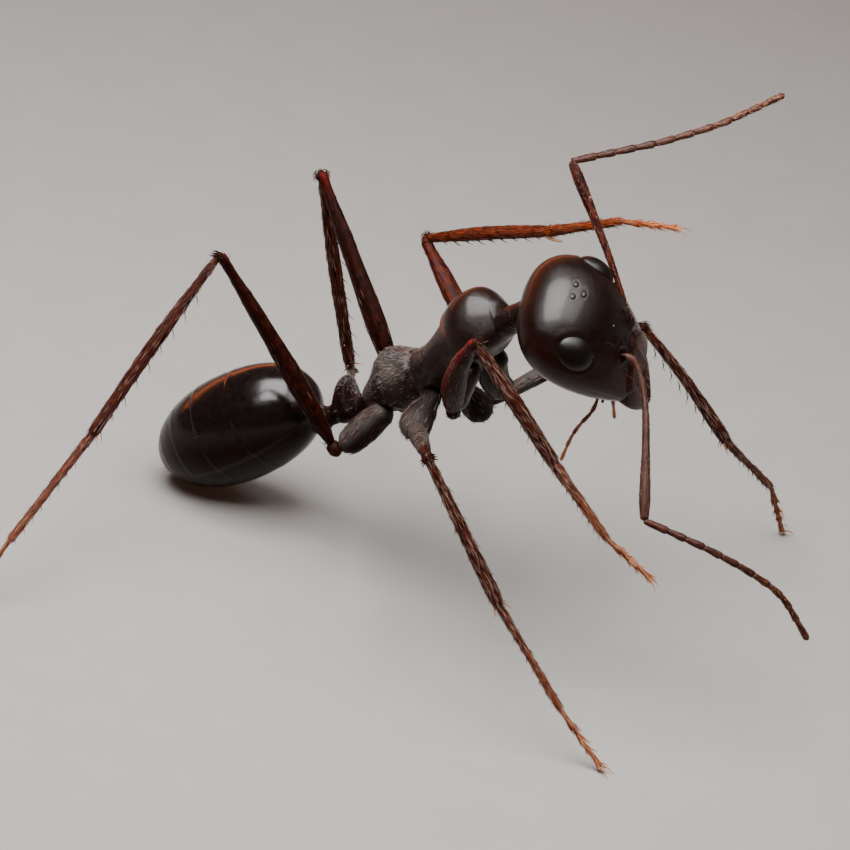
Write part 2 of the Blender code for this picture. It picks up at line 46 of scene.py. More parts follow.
pose = {
    "neckJoint": (0.475, -0.609, 6.23),
    "trunkPitch": 48.0, "trunkRoll": 9.5,
    "headYaw": 55.0, "headPitch": -34.0, "headRoll": 33.0,
    "neckOnHead": (-0.02, -0.94, -0.66),
    "petioleAzimuth": 113.0, "petioleDrop": 38.0,
    "gasterAzimuth": 118.0, "gasterDrop": 41.0,
}


# frames and small curves

def direction(azimuth, elevation):
    a, e = math.radians(azimuth), math.radians(elevation)
    return Vector((math.cos(a) * math.cos(e), math.sin(a) * math.cos(e), math.sin(e)))


def attitude(yaw, pitch, roll):
    forward = direction(-90.0 + yaw, pitch)
    right = forward.cross(skyward).normalized()
    turn = Matrix.Rotation(math.radians(roll), 3, forward)
    return turn @ right, forward, turn @ right.cross(forward)


def inFrame(origin, axes, right, forward, up):
    return origin + axes[0] * right + axes[1] * forward + axes[2] * up


def squareTo(vector, axis):
    # the part of a vector that stands square to an axis
    return (vector - axis * vector.dot(axis)).normalized()


def hump(x, centre, spread):
    return math.exp(-((x - centre) / spread) ** 2)


def smooth(x, low, high):
    t = min(1.0, max(0.0, (x - low) / (high - low)))
    return t * t * (3.0 - 2.0 * t)


def window(x, low, high, soft):
    return smooth(x, low - soft, low + soft) * (1.0 - smooth(x, high - soft, high + soft))


def roundedEnd(share, power):
    return max(0.0, 1.0 - abs(share) ** power) ** (1.0 / power)


def ovalPoint(angle, halfWidth, top, bottom, power):
    c, s = math.cos(angle), math.sin(angle)
    return (math.copysign(abs(c) ** (2.0 / power), c) * halfWidth,
            math.copysign(abs(s) ** (2.0 / power), s) * (top if s > 0 else bottom))


def heightOf(angle):
    # degrees above the side of a section, from -90 at its bottom to 90 at its top
    return math.degrees(math.asin(max(-1.0, min(1.0, math.sin(angle)))))


def sideAngle(side, degrees):
    return math.radians(degrees if side > 0 else 180.0 - degrees)


def profileAt(t, stations):
    for (t0, r0), (t1, r1) in zip(stations, stations[1:]):
        if t <= t1:
            return r0 + (r1 - r0) * smooth(t, t0, t1)
    return stations[-1][1]


trunkAxes = attitude(0.0, pose["trunkPitch"], pose["trunkRoll"])
headAxes = attitude(pose["headYaw"], pose["headPitch"], pose["headRoll"])
neckJoint = Vector(pose["neckJoint"])
headCentre = neckJoint - inFrame(Vector(), headAxes, *pose["neckOnHead"])


# rings of points and tubes

def turns(count, half=0.0):
    return [fullTurn * (j + half) / count for j in range(count)]


def ringRows(rows, columns, spot, half=0.0):
    # spot gives the place at a share of the length and an angle round it
    return [[spot(i / (rows - 1), angle) for angle in turns(columns, half)] for i in range(rows)]


def sweep(path, radii, sides, flat=1.0, flatAxis=None):
    # rings of a smooth tube along points, kept from twisting
    rings = []
    normal = skyward if flatAxis is None else flatAxis
    for i, (point, radius) in enumerate(zip(path, radii)):
        way = (path[min(i + 1, len(path) - 1)] - path[max(i - 1, 0)]).normalized()
        if i == 0 and abs(normal.normalized().dot(way)) > 0.95:
            normal = Vector((1.0, 0.0, 0.0))
        normal = squareTo(normal, way)
        across = way.cross(normal)
        rings.append([point + (normal * math.cos(a) * flat + across * math.sin(a)) * radius
                      for a in turns(sides)])
    return rings


def limbRings(start, end, stations, rows, sides, bow=None, lean=1.0, flat=1.0, flatAxis=None):
    # one limb piece with rounded ends; bow is how far and which way it stands off the straight
    # line, lean how early it turns (1 is at its middle)
    path, radii = [], []
    length = (end - start).length
    for i in range(rows):
        t = 0.5 - 0.5 * math.cos(math.pi * i / (rows - 1))
        point = start.lerp(end, t)
        path.append(point if bow is None else point + bow * math.sin(math.pi * t ** lean))
        r = profileAt(t, stations)
        # both ends are rounded, but never down to a point
        near = min(t, 1.0 - t) * length
        radii.append(max(0.12 * r, math.sqrt(max(0.0, r * r - (r - near) ** 2))) if near < r else r)
    return sweep(path, radii, sides, flat, flatAxis)


def spike(start, way, length, radius, curl=Vector(), rows=9, columns=9):
    steps = [i / (rows - 1) for i in range(rows)]
    path = [start + way * (length * t) + curl * (t * t) for t in steps]
    return sweep(path, [radius * (1.0 - t) ** 0.8 + 0.0015 for t in steps], columns)


def alongPath(path, t):
    lengths = [(b - a).length for a, b in zip(path, path[1:])]
    left = t * sum(lengths)
    for a, b, length in zip(path, path[1:], lengths):
        if left <= length or b is path[-1]:
            return a.lerp(b, min(1.0, left / length))
        left -= length


def roundPath(path, count, blend=0.16):
    # the same path with its corners rounded
    spots = []
    for i in range(count):
        t = i / (count - 1)
        reach = min(blend, t, 1.0 - t)
        spots.append(sum((alongPath(path, t + reach * k / 3.0) for k in range(-3, 4)), Vector()) / 7.0)
    return spots


def walk(start, steps):
    # the points reached by steps of azimuth, elevation and length
    path = [start]
    for azimuth, elevation, length in steps:
        path.append(path[-1] + direction(azimuth, elevation) * length)
    return path


# skins: rings of points become one mesh with an unwrap, the lie of its hair and its tint

def newSkin(gridSide):
    # gridSide: how many cells the unwrap has along each side
    return {"verts": [], "faces": [], "uvs": [], "mats": [], "cells": 0, "side": gridSide,
            "lie": [], "strand": [], "furry": [], "reach": [], "rim": []}


def addRings(skin, rings, furry=1.0, reach=(0.0, 0.0), mat=0, rim=None):
    # furry, the painted glow and shade mask, and mat may change along the piece; every part has its own cell
    # of the unwrap
    verts, count, total = skin["verts"], len(rings[0]), len(rings)
    base, side = len(verts), skin["side"]
    cellX, cellY = skin["cells"] % side, skin["cells"] // side
    skin["cells"] += 1

    def addPoint(point, **marks):
        verts.append(point)
        for key, value in marks.items():
            skin[key].append(value)

    def addFace(corners, share, places):
        skin["faces"].append(corners)
        skin["mats"].append(mat(share) if callable(mat) else mat)
        skin["uvs"] += [((cellX + 0.04 + 0.92 * u) / side, (cellY + 0.04 + 0.92 * v) / side)
                        for u, v in places]

    middles = [sum(ring, Vector()) / count for ring in rings]
    travelled = 0.0
    for r, ring in enumerate(rings):
        before, after = max(0, r - 1), min(total - 1, r + 1)
        share = r / (total - 1)
        ahead = (middles[after] - middles[before]).normalized()
        travelled += (middles[r] - middles[before]).length
        # the same place with its length squeezed, so that a pattern on it becomes streaks
        squeezed = middles[0] + ahead * (0.1 * travelled) - middles[r]
        for j, point in enumerate(ring):
            way = rings[after][j] - rings[before][j]
            addPoint(point, lie=way.normalized() if way.length > 1e-9 else skyward, strand=point + squeezed,
                     furry=furry(share, j / count) if callable(furry) else furry,
                     reach=reach[0] + (reach[1] - reach[0]) * share,
                     rim=rim(share, j / count) if rim else 0.0)
    for r in range(total - 1):
        a, b = base + r * count, base + (r + 1) * count
        u0, u1 = r / (total - 1), (r + 1) / (total - 1)
        for j in range(count):
            k, v0, v1 = (j + 1) % count, j / count, (j + 1) / count
            addFace((a + j, a + k, b + k, b + j), u0, ((u0, v0), (u0, v1), (u1, v1), (u1, v0)))
    for end, r in enumerate((0, total - 1)):
        a, pole = base + r * count, len(verts)
        addPoint(middles[r], lie=skin["lie"][a], strand=skin["strand"][a], reach=reach[end], furry=0.0,
                 rim=0.0)
        for j in range(count):
            k = (j + 1) % count
            addFace((a + j, a + k, pole) if end else (a + k, a + j, pole), end, ((end, j / count),) * 3)


def facing(rings, way, low, high):
    # how far each spot of a ringed piece looks one way, from nought to one
    def share(along, turn):
        ring = rings[min(len(rings) - 1, round(along * (len(rings) - 1)))]
        out = ring[round(turn * len(ring)) % len(ring)] - sum(ring, Vector()) / len(ring)
        return smooth(out.normalized().dot(way), low, high)
    return share


def newObject(name, data):
    thing = bpy.data.objects.new(name, data)
    bpy.context.scene.collection.objects.link(thing)
    return thing


def setValues(mesh, name, values):
    mesh.attributes.new(name, "FLOAT", "POINT").data.foreach_set("value", values)


def skinObject(skin, name, materials):
    mesh = bpy.data.meshes.new(name)
    mesh.from_pydata([tuple(v) for v in skin["verts"]], [], skin["faces"])
    mesh.uv_layers.new(name="SkinMap").data.foreach_set("uv", [c for pair in skin["uvs"] for c in pair])
    for key in ("lie", "strand"):
        made = mesh.attributes.new(key, "FLOAT_VECTOR", "POINT")
        made.data.foreach_set("vector", [c for v in skin[key] for c in v])
    for key in ("furry", "reach", "rim"):
        setValues(mesh, key, skin[key])
    for material in materials:
        mesh.materials.append(mats[material])
    mesh.polygons.foreach_set("material_index", skin["mats"])
    mesh.shade_smooth()
    bm = bmesh.new()
    bm.from_mesh(mesh)
    bmesh.ops.recalc_face_normals(bm, faces=bm.faces)
    bm.to_mesh(mesh)
    bm.free()
    # painted shade mask: how far each point faces down, for the painted shade underneath
    setValues(mesh, "under", [smooth(-normal.vector.z, -0.5, 0.1) for normal in mesh.vertex_normals])
    return newObject(name, mesh)


def finishPiece(thing, slotName, *nodes):
    thing.data.transform(Matrix.Scale(mm, 4))
    thing.data.update()
    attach(thing, body)
    if nodes:
        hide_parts(*nodes)


def makePiece(skin, name, slotName, materials, nodes=(), coat=None):
    # coat: the name of the hair that grows on this piece, a slot name that is not used, and its kinds
    thing = skinObject(skin, name, materials)
    if coat:
        growCoat(thing, *coat)
    finishPiece(thing, slotName, *nodes)


# node trees, for shaders and for hair

def feed(tree, value, socket):
    # a socket takes another node's output, a number or a colour
    if isinstance(value, bpy.types.NodeSocket):
        tree.links.new(value, socket)
    else:
        socket.default_value = (*value, 1.0) if socket.type == "RGBA" else value


def put(tree, kind, inputs=None, **settings):
    made = tree.nodes.new(kind)
    for key, value in settings.items():
        setattr(made, key, value)
    for key, value in (inputs or {}).items():
        feed(tree, value, made.inputs[key])
    return made


def maths(tree, operation, a, b, clamp=False):
    return put(tree, "ShaderNodeMath", {0: a, 1: b}, operation=operation, use_clamp=clamp).outputs[0]


def times(tree, a, b, clamp=False):
    return maths(tree, "MULTIPLY", a, b, clamp)


def plus(tree, a, b, clamp=False):
    return maths(tree, "ADD", a, b, clamp)


def scaled(tree, vector, factor):
    return put(tree, "ShaderNodeVectorMath", {0: vector, "Scale": factor}, operation="SCALE").outputs[0]


def spread(tree, value, low, high, toLow=0.0, toHigh=1.0):
    ends = {"Value": value, "From Min": low, "From Max": high, "To Min": toLow, "To Max": toHigh}
    made = put(tree, "ShaderNodeMapRange", ends, clamp=True, interpolation_type="SMOOTHSTEP")
    return made.outputs["Result"]


def mixColour(tree, factor, a, b):
    return put(tree, "ShaderNodeMix", {0: factor, 6: a, 7: b}, data_type="RGBA").outputs[2]


def noise(tree, vector, scale, detail=3.0, rough=0.55):
    inputs = {"Vector": vector, "Scale": scale, "Detail": detail, "Roughness": rough}
    return put(tree, "ShaderNodeTexNoise", inputs).outputs["Fac"]


def voronoi(tree, vector, scale, feature="F1", **more):
    inputs = {"Vector": vector, "Scale": scale, **more}
    return put(tree, "ShaderNodeTexVoronoi", inputs, feature=feature).outputs


def marked(tree, name, output="Fac"):
    return put(tree, "ShaderNodeAttribute", attribute_name=name).outputs[output]


def objectPlace(tree):
    return put(tree, "ShaderNodeTexCoord").outputs["Object"]


def newGroup(name, numbers, outputs):
    # a shader group that reads a place and some numbers and gives masks or a height
    group = bpy.data.node_groups.new(name, "ShaderNodeTree")
    group.interface.new_socket(name="Vector", in_out="INPUT", socket_type="NodeSocketVector")
    for label, value in numbers.items():
        socket = group.interface.new_socket(name=label, in_out="INPUT", socket_type="NodeSocketFloat")
        socket.default_value = value
    for label in outputs:
        group.interface.new_socket(name=label, in_out="OUTPUT", socket_type="NodeSocketFloat")
    return group, put(group, "NodeGroupInput").outputs, put(group, "NodeGroupOutput").inputs


def useGroup(tree, group, vector, **values):
    inputs = {key.replace("_", " "): value for key, value in values.items()}
    return put(tree, "ShaderNodeGroup", {"Vector": vector, **inputs}, node_tree=group).outputs


def buildShellGrain():
    # fine net of cells, pin-prick pits and slow waves of the shell, sizes in cells per millimetre
    group, entry, out = newGroup("shellGrain", {"Cells": 34.0, "Net": 1.0, "Pits": 0.5, "Waves": 0.6},
                                 ("Height", "Mottle"))
    place = scaled(group, entry["Vector"], 1000.0)
    net = spread(group, voronoi(group, place, entry["Cells"], "DISTANCE_TO_EDGE")["Distance"], 0.0, 0.16)
    pit = spread(group, voronoi(group, place, 9.0)["Distance"], 0.04, 0.13)
    height = plus(group, times(group, net, entry["Net"]), times(group, pit, entry["Pits"]))
    height = plus(group, height, times(group, noise(group, place, 2.6, 4.0), entry["Waves"]))
    feed(group, height, out["Height"])
    feed(group, noise(group, place, 7.0, 5.0), out["Mottle"])
    return group


def buildDustSpecks():
    # a few pale grains and a thin patchy bloom of down
    group, entry, out = newGroup("dustSpecks", {"Grain Share": 0.06, "Bloom": 0.0}, ("Grains", "Bloom"))
    place = scaled(group, entry["Vector"], 1000.0)
    grains = voronoi(group, place, 13.0)
    pick = put(group, "ShaderNodeSeparateColor", {0: grains["Color"]}).outputs[0]
    chosen = maths(group, "LESS_THAN", pick, entry["Grain Share"])
    feed(group, times(group, spread(group, grains["Distance"], 0.22, 0.12), chosen), out["Grains"])
    patches = spread(group, noise(group, place, 3.2, 4.0), 0.34, 0.66, 0.45, 1.0)
    fibres = spread(group, noise(group, place, 46.0, 2.0, 0.7), 0.35, 0.62, 0.35, 1.0)
    feed(group, times(group, times(group, patches, fibres), entry["Bloom"], True), out["Bloom"])
    return group


def buildHairStreaks():
    # short flat hairs seen as fine streaks that run the way the hair lies
    group, entry, out = newGroup("hairStreaks", {"Fineness": 26.0}, ("Streak",))
    fibres = noise(group, entry["Vector"], entry["Fineness"], 2.0, 0.5)
    feed(group, spread(group, fibres, 0.45, 0.58), out["Streak"])
    return group


shellGrain = buildShellGrain()
dustSpecks = buildDustSpecks()
hairStreaks = buildHairStreaks()


def newMaterial(name):
    made = bpy.data.materials.new(name)
    made.use_nodes = True
    return made, made.node_tree, made.node_tree.nodes["Principled BSDF"].inputs


def setSockets(tree, sockets, **values):
    for key, value in values.items():
        feed(tree, value, sockets[key.replace("_", " ")])


def bumpOf(tree, height, strength, depth):
    inputs = {"Strength": strength, "Distance": depth * mm, "Height": height}
    return put(tree, "ShaderNodeBump", inputs).outputs["Normal"]


def paintedUnderShade(tree, under):
    # painted shade underneath: where the surface faces down, its reflection is tinted dark brown, so it
    # throws back less of the floor
    return mixColour(tree, under, (1.0, 1.0, 1.0), (0.16, 0.06, 0.03))


def shellMaterial(name, look):
    # black or brown shell with its net of cells, bloom of down and specks of dust; also painted shade
    # underneath, and on some looks a painted glow at thin edges or painted shade on the coxae
    made, tree, sockets = newMaterial(name)
    place = objectPlace(tree)
    grain = useGroup(tree, shellGrain, place, Cells=look["cells"], Net=look["net"], Pits=look["pits"],
                     Waves=look["waves"])
    dust = useGroup(tree, dustSpecks, place, Grain_Share=look["grains"], Bloom=look["bloom"])
    mottle = spread(tree, grain["Mottle"], 0.35, 0.68)
    colour = mixColour(tree, mottle, look["dark"], look["warm"])
    rough = spread(tree, grain["Mottle"], 0.3, 0.7, *look["rough"])
    rough = plus(tree, rough, times(tree, dust["Bloom"], 0.3), True)
    height, bloom = grain["Height"], dust["Bloom"]
    if "far" in look:
        shift = plus(tree, marked(tree, "reach"), times(tree, maths(tree, "SUBTRACT", mottle, 0.5), 0.2))
        reached = spread(tree, shift, *look["farFrom"])
        if "patch" in look:
            # in patches, where down grows, and duller there
            rough = plus(tree, rough, times(tree, reached, 0.3), True)
            patches = noise(tree, scaled(tree, place, 1000.0), look["patch"])
            reached = times(tree, reached, spread(tree, patches, 0.42, 0.6, 0.2, 1.0))
            reached = times(tree, reached, marked(tree, "furry"), True)
        colour = mixColour(tree, reached, colour, look["far"])
    if "streak" in look:
        strand = marked(tree, "strand", "Vector")
        streak = useGroup(tree, hairStreaks, strand, Fineness=look["fineness"])["Streak"]
        seen = times(tree, times(tree, streak, marked(tree, "furry")), look["streakShare"], True)
        if look["downFades"]:
            kept = maths(tree, "SUBTRACT", 1.0, reached)
            seen, bloom = times(tree, seen, kept), times(tree, bloom, kept)
        colour = mixColour(tree, seen, colour, look["streak"])
        height = plus(tree, times(tree, height, 0.4), times(tree, streak, 0.7))
    colour = mixColour(tree, bloom, colour, look["down"])
    # painted glow at thin edges, or painted shade on the coxae, in the look's own colour for it
    if "rim" in look:
        colour = mixColour(tree, marked(tree, "rim"), colour, look["rim"])
    colour = mixColour(tree, dust["Grains"], colour, (0.55, 0.46, 0.36))
    # painted shade: where it faces down, the reflection is tinted brown and, on looks with a shade colour,
    # the base colour turns to it
    under = marked(tree, "under")
    if "shade" in look:
        colour = mixColour(tree, times(tree, under, 0.8), colour, look["shade"])
    weight, dull, tint = look["sheen"]
    setSockets(tree, sockets, Base_Color=colour, Roughness=rough, Specular_Tint=paintedUnderShade(tree, under),
               Normal=bumpOf(tree, height, look["bump"], look["depth"]), IOR=look["ior"],
               Specular_IOR_Level=look["gloss"], Sheen_Weight=weight, Sheen_Roughness=dull,
               Sheen_Tint=tint, Subsurface_Weight=look["glow"], Subsurface_Scale=0.25 * mm,
               Subsurface_Radius=(1.0, 0.25, 0.08))
    return made


def hairMaterial(name, root, tip, rough, far=None):
    # a hair takes the darker tone near its root, and may turn paler towards the end of its limb
    made, tree, sockets = newMaterial(name)
    grain = useGroup(tree, shellGrain, objectPlace(tree), Cells=20.0, Net=0.0, Pits=0.0, Waves=1.0)
    mixed = plus(tree, marked(tree, "along"), times(tree, grain["Mottle"], 0.25))
    colour = mixColour(tree, spread(tree, mixed, 0.1, 0.9), root, tip)
    if far:
        colour = mixColour(tree, spread(tree, marked(tree, "reach"), 0.66, 1.0), colour, far)
    dull = spread(tree, grain["Mottle"], 0.3, 0.7, rough, rough + 0.15)
    setSockets(tree, sockets, Base_Color=colour, Roughness=dull, IOR=1.5, Specular_IOR_Level=0.22)
    return made


def eyeMaterial(name):
    # six-sided facets a fiftieth of a millimetre across, over dark purple-brown pigment
    made, tree, sockets = newMaterial(name)
    place = scaled(tree, objectPlace(tree), 1000.0)
    dome = spread(tree, voronoi(tree, place, 42.0, Randomness=0.25)["Distance"], 0.0, 0.62, 1.0, 0.0)
    cloud = spread(tree, noise(tree, place, 5.0), 0.35, 0.65)
    colour = mixColour(tree, cloud, (0.004, 0.0016, 0.0012), (0.008, 0.0028, 0.002))
    colour = mixColour(tree, times(tree, dome, 0.5), (0.002, 0.001, 0.001), colour)
    # painted shade: the eye's reflection is tinted brown where it faces down
    setSockets(tree, sockets, Base_Color=colour, Roughness=spread(tree, dome, 0.2, 0.9, 0.32, 0.22),
               Normal=bumpOf(tree, dome, 0.4, 0.006), Specular_Tint=paintedUnderShade(tree, marked(tree, "under")),
               IOR=1.48, Specular_IOR_Level=0.34)
    return made


# dark and warm: the shell's mottle; down: its bloom; far: the tone its end turns to
plainLook = dict(net=0.5, pits=0.5, waves=0.8, grains=0.0, bloom=0.01, bump=0.4, depth=0.008,
                 sheen=(0.0, 0.35, (1.0, 0.35, 0.2)), ior=1.5, gloss=0.5, glow=0.0, downFades=False)
shellLooks = {
    "headShell": dict(
        dark=(0.0025, 0.001, 0.0008), warm=(0.006, 0.0015, 0.0009), down=(0.05, 0.04, 0.038),
        cells=46.0, waves=0.5, grains=0.006, bloom=0.008, rough=(0.12, 0.2), bump=0.35, depth=0.006,
        # painted shade: the shade colour at the end of the next line is the head's tone where it faces down
        sheen=(0.01, 0.3, (1.0, 0.35, 0.2)), ior=1.46, gloss=0.38, shade=(0.012, 0.002, 0.0008),
        far=(0.024, 0.004, 0.002), farFrom=(0.6, 1.0)),
    "trunkShell": dict(
        dark=(0.004, 0.0014, 0.001), warm=(0.009, 0.0025, 0.0014), down=(0.08, 0.07, 0.07),
        cells=30.0, pits=0.4, grains=0.004, rough=(0.14, 0.24), depth=0.009,
        # painted glow: the red at the end of the next line tints the front plate's thin edge as if lit
        # through from behind
        sheen=(0.01, 0.35, (1.0, 0.45, 0.3)), ior=1.47, gloss=0.36, rim=(0.13, 0.016, 0.005),
        far=(0.05, 0.036, 0.029), farFrom=(0.5, 0.62), patch=2.2),
    "downShell": dict(
        dark=(0.016, 0.009, 0.007), warm=(0.036, 0.024, 0.019), down=(0.105, 0.094, 0.09),
        cells=26.0, net=0.8, pits=0.6, waves=1.0, bloom=0.4, rough=(0.36, 0.55), bump=0.6, depth=0.01,
        sheen=(0.02, 0.4, (0.8, 0.82, 0.86)), gloss=0.14,
        streak=(0.098, 0.089, 0.086), streakShare=0.5, fineness=30.0,
        # painted shade: the near-black third colour on the next line darkens the coxae underneath and at
        # their root
        far=(0.012, 0.003, 0.002), farFrom=(0.2, 0.32), rim=(0.006, 0.003, 0.0025), downFades=True),
    "gasterShell": dict(
        dark=(0.002, 0.0012, 0.0012), warm=(0.005, 0.0018, 0.0014), down=(0.04, 0.03, 0.028),
        cells=22.0, net=0.25, pits=0.35, waves=0.4, bloom=0.005, rough=(0.14, 0.22), bump=0.3,
        depth=0.006, sheen=(0.01, 0.3, (1.0, 0.4, 0.2)), ior=1.46, gloss=0.4,
        far=(0.014, 0.004, 0.002), farFrom=(0.8, 0.99)),
    "limbShell": dict(
        dark=(0.004, 0.0008, 0.0005), warm=(0.018, 0.0023, 0.001), down=(0.07, 0.028, 0.018),
        cells=40.0, grains=0.004, bloom=0.02, rough=(0.26, 0.4), bump=0.8, glow=0.05, gloss=0.06,
        streak=(0.085, 0.015, 0.006), streakShare=0.6, fineness=34.0,
        # painted glow: the red at the end of the next line tints the femur's knee-facing edge as if lit
        # through from behind
        far=(0.2, 0.055, 0.022), farFrom=(0.62, 1.0), rim=(0.09, 0.004, 0.003)),
    # painted backlight: a redder, more glowing copy of the limb shell, given only to the far front leg as if
    # lit through from behind
    "paintedBacklitLimbShell": dict(
        dark=(0.014, 0.0018, 0.0006), warm=(0.06, 0.006, 0.0016), down=(0.09, 0.018, 0.006),
        cells=40.0, grains=0.002, bloom=0.02, rough=(0.26, 0.4), bump=0.8, glow=0.15, gloss=0.08,
        streak=(0.14, 0.016, 0.004), streakShare=0.4, fineness=34.0,
        far=(0.28, 0.045, 0.009), farFrom=(0.4, 1.0)),
    "flagellumShell": dict(
        dark=(0.011, 0.0024, 0.0014), warm=(0.032, 0.007, 0.0036), down=(0.09, 0.034, 0.02),
        cells=50.0, net=0.8, pits=0.7, waves=0.6, grains=0.003, bloom=0.06, rough=(0.3, 0.44),
        bump=0.7, depth=0.005, sheen=(0.01, 0.4, (1.0, 0.6, 0.45)), glow=0.12, gloss=0.24,
        streak=(0.09, 0.026, 0.013), streakShare=0.5, fineness=40.0),
    "palpShell": dict(
        dark=(0.06, 0.02, 0.009), warm=(0.15, 0.055, 0.022), down=(0.2, 0.12, 0.08),
        cells=40.0, net=0.6, pits=0.6, waves=0.6, bloom=0.06, rough=(0.38, 0.52), depth=0.004,
        sheen=(0.05, 0.4, (1.0, 0.8, 0.6)), glow=0.3, gloss=0.3,
        far=(0.28, 0.12, 0.05), farFrom=(0.5, 1.0)),
    "jawShell": dict(
        dark=(0.01, 0.0018, 0.0012), warm=(0.035, 0.005, 0.0025), down=(0.05, 0.015, 0.008),
        cells=18.0, net=0.6, pits=0.8, waves=0.9, rough=(0.24, 0.38), bump=0.5, glow=0.06, gloss=0.18,
        far=(0.01, 0.002, 0.0015), farFrom=(0.75, 1.0)),
    "hornyTip": dict(
        dark=(0.2, 0.06, 0.018), warm=(0.36, 0.14, 0.045), down=(0.5, 0.3, 0.18),
        cells=30.0, net=0.4, pits=0.3, waves=0.6, bloom=0.1, rough=(0.3, 0.45), bump=0.3, depth=0.004,
        sheen=(0.1, 0.3, (1.0, 0.9, 0.8)), glow=0.3, far=(0.1, 0.025, 0.01), farFrom=(0.8, 1.0)),
}
shellLooks["petioleShell"] = dict(shellLooks["limbShell"], dark=(0.003, 0.001, 0.0008),
                                  warm=(0.01, 0.003, 0.0022), streak=(0.03, 0.014, 0.011))
hairLooks = {
    "downHair": ((0.05, 0.038, 0.034), (0.29, 0.262, 0.255), 0.4),
    "silverHair": ((0.02, 0.004, 0.002), (0.31, 0.2, 0.16), 0.3, (0.46, 0.21, 0.1)),
    # painted backlight: the far front leg's hairs, redder as if lit through from behind
    "paintedBacklitHair": ((0.04, 0.004, 0.001), (0.22, 0.035, 0.01), 0.3, (0.5, 0.17, 0.06)),
    "brownHair": ((0.012, 0.003, 0.002), (0.08, 0.018, 0.01), 0.35, (0.26, 0.08, 0.035)),
    "paleHair": ((0.28, 0.13, 0.05), (0.6, 0.42, 0.26), 0.4),
}
mats = {name: shellMaterial(name, {**plainLook, **look}) for name, look in shellLooks.items()}
mats.update({name: hairMaterial(name, *look) for name, look in hairLooks.items()})
mats["facetEye"] = eyeMaterial("facetEye")
print("materials ready")


# hair: one tree grows every coat from a skin's own lie, tint and unwrap, with these sizes unless
# a kind of hair gives its own

def buildHairTree():
    tree = bpy.data.node_groups.new("hairCoat", "GeometryNodeTree")
    sizes = {"Density": 100.0, "Length": 0.1, "Spread": 0.3, "Thickness": 0.005, "Rise": 0.4,
             "Disorder": 0.2, "Curve": 0.15}
    kinds = [("Skin", "Geometry"), *((label, "Float") for label in sizes), ("Seed", "Int"),
             ("Material", "Material")]
    identifiers = {}
    for label, kind in kinds:
        socket = tree.interface.new_socket(name=label, in_out="INPUT", socket_type="NodeSocket" + kind)
        identifiers[label] = socket.identifier
        if label in sizes:
            socket.default_value = sizes[label]
    tree.interface.new_socket(name="Coat", in_out="OUTPUT", socket_type="NodeSocketGeometry")
    entry = put(tree, "NodeGroupInput").outputs
    seed, thickness, length = entry["Seed"], entry["Thickness"], entry["Length"]

    def named(label, kind="FLOAT_VECTOR"):
        made = put(tree, "GeometryNodeInputNamedAttribute", {"Name": label}, data_type=kind)
        return made.outputs["Attribute"]

    def added(a, b):
        return put(tree, "ShaderNodeVectorMath", {0: a, 1: b}, operation="ADD").outputs[0]

    def store(geometry, label, value, kind, domain):
        inputs = {"Geometry": geometry, "Name": label, "Value": value}
        made = put(tree, "GeometryNodeStoreNamedAttribute", inputs, data_type=kind, domain=domain)
        return made.outputs["Geometry"]

    density = times(tree, entry["Density"], named("furry", "FLOAT"))
    scatter = put(tree, "GeometryNodeDistributePointsOnFaces",
                  {"Mesh": entry["Skin"], "Density": density, "Seed": seed}).outputs

    # the hair itself: three sides, tapered, curling over towards +X
    cone = put(tree, "GeometryNodeMeshCone",
               {"Vertices": 3, "Side Segments": 3, "Radius Top": 0.12, "Radius Bottom": 1.0, "Depth": 1.0},
               fill_type="NONE").outputs
    position = put(tree, "GeometryNodeInputPosition").outputs[0]
    height = put(tree, "ShaderNodeSeparateXYZ", {0: position}).outputs["Z"]
    bend = times(tree, times(tree, height, height), times(tree, entry["Curve"], length))
    bend = put(tree, "ShaderNodeCombineXYZ", {"X": maths(tree, "DIVIDE", bend, thickness)}).outputs[0]
    curl = put(tree, "GeometryNodeSetPosition", {"Geometry": cone["Mesh"], "Offset": bend}).outputs[0]
    hair = store(curl, "tuft", cone["UV Map"], "FLOAT_VECTOR", "CORNER")
    hair = store(hair, "along", height, "FLOAT", "POINT")

    # each hair lies along the skin's lie, raised towards the normal, a little out of order
    wobble = put(tree, "FunctionNodeRandomValue", {0: (-1.0, -1.0, -1.0), 1: (1.0, 1.0, 1.0), "Seed": seed},
                 data_type="FLOAT_VECTOR").outputs[0]
    raised = added(named("lie"), scaled(tree, scatter["Normal"], entry["Rise"]))
    way = added(raised, scaled(tree, wobble, entry["Disorder"]))
    aim = put(tree, "FunctionNodeAlignRotationToVector", {"Vector": way}, axis="Z").outputs[0]
    inward = scaled(tree, scatter["Normal"], -1.0)
    roll = put(tree, "FunctionNodeAlignRotationToVector", {"Rotation": aim, "Vector": inward}, axis="X",
               pivot_axis="Z").outputs[0]
    shortest = maths(tree, "SUBTRACT", 1.0, entry["Spread"])
    longest = plus(tree, 1.0, entry["Spread"])
    vary = put(tree, "FunctionNodeRandomValue", {2: shortest, 3: longest, "Seed": seed},
               data_type="FLOAT").outputs[1]
    size = put(tree, "ShaderNodeCombineXYZ",
               {"X": thickness, "Y": thickness, "Z": times(tree, length, vary)}).outputs[0]
    plant = put(tree, "GeometryNodeInstanceOnPoints",
                {"Points": scatter["Points"], "Instance": hair, "Rotation": roll, "Scale": size})
    real = put(tree, "GeometryNodeRealizeInstances", {"Geometry": plant.outputs["Instances"]}).outputs[0]
    unwrap = added(named("SkinMap"), scaled(tree, named("tuft"), 0.003))
    bake = store(real, "OFBake", unwrap, "FLOAT2", "CORNER")
    dress = put(tree, "GeometryNodeSetMaterial", {"Geometry": bake, "Material": entry["Material"]})
    put(tree, "NodeGroupOutput", {"Coat": dress.outputs["Geometry"]})
    return tree, identifiers


hairTree, hairSockets = buildHairTree()
coatTriangles = []


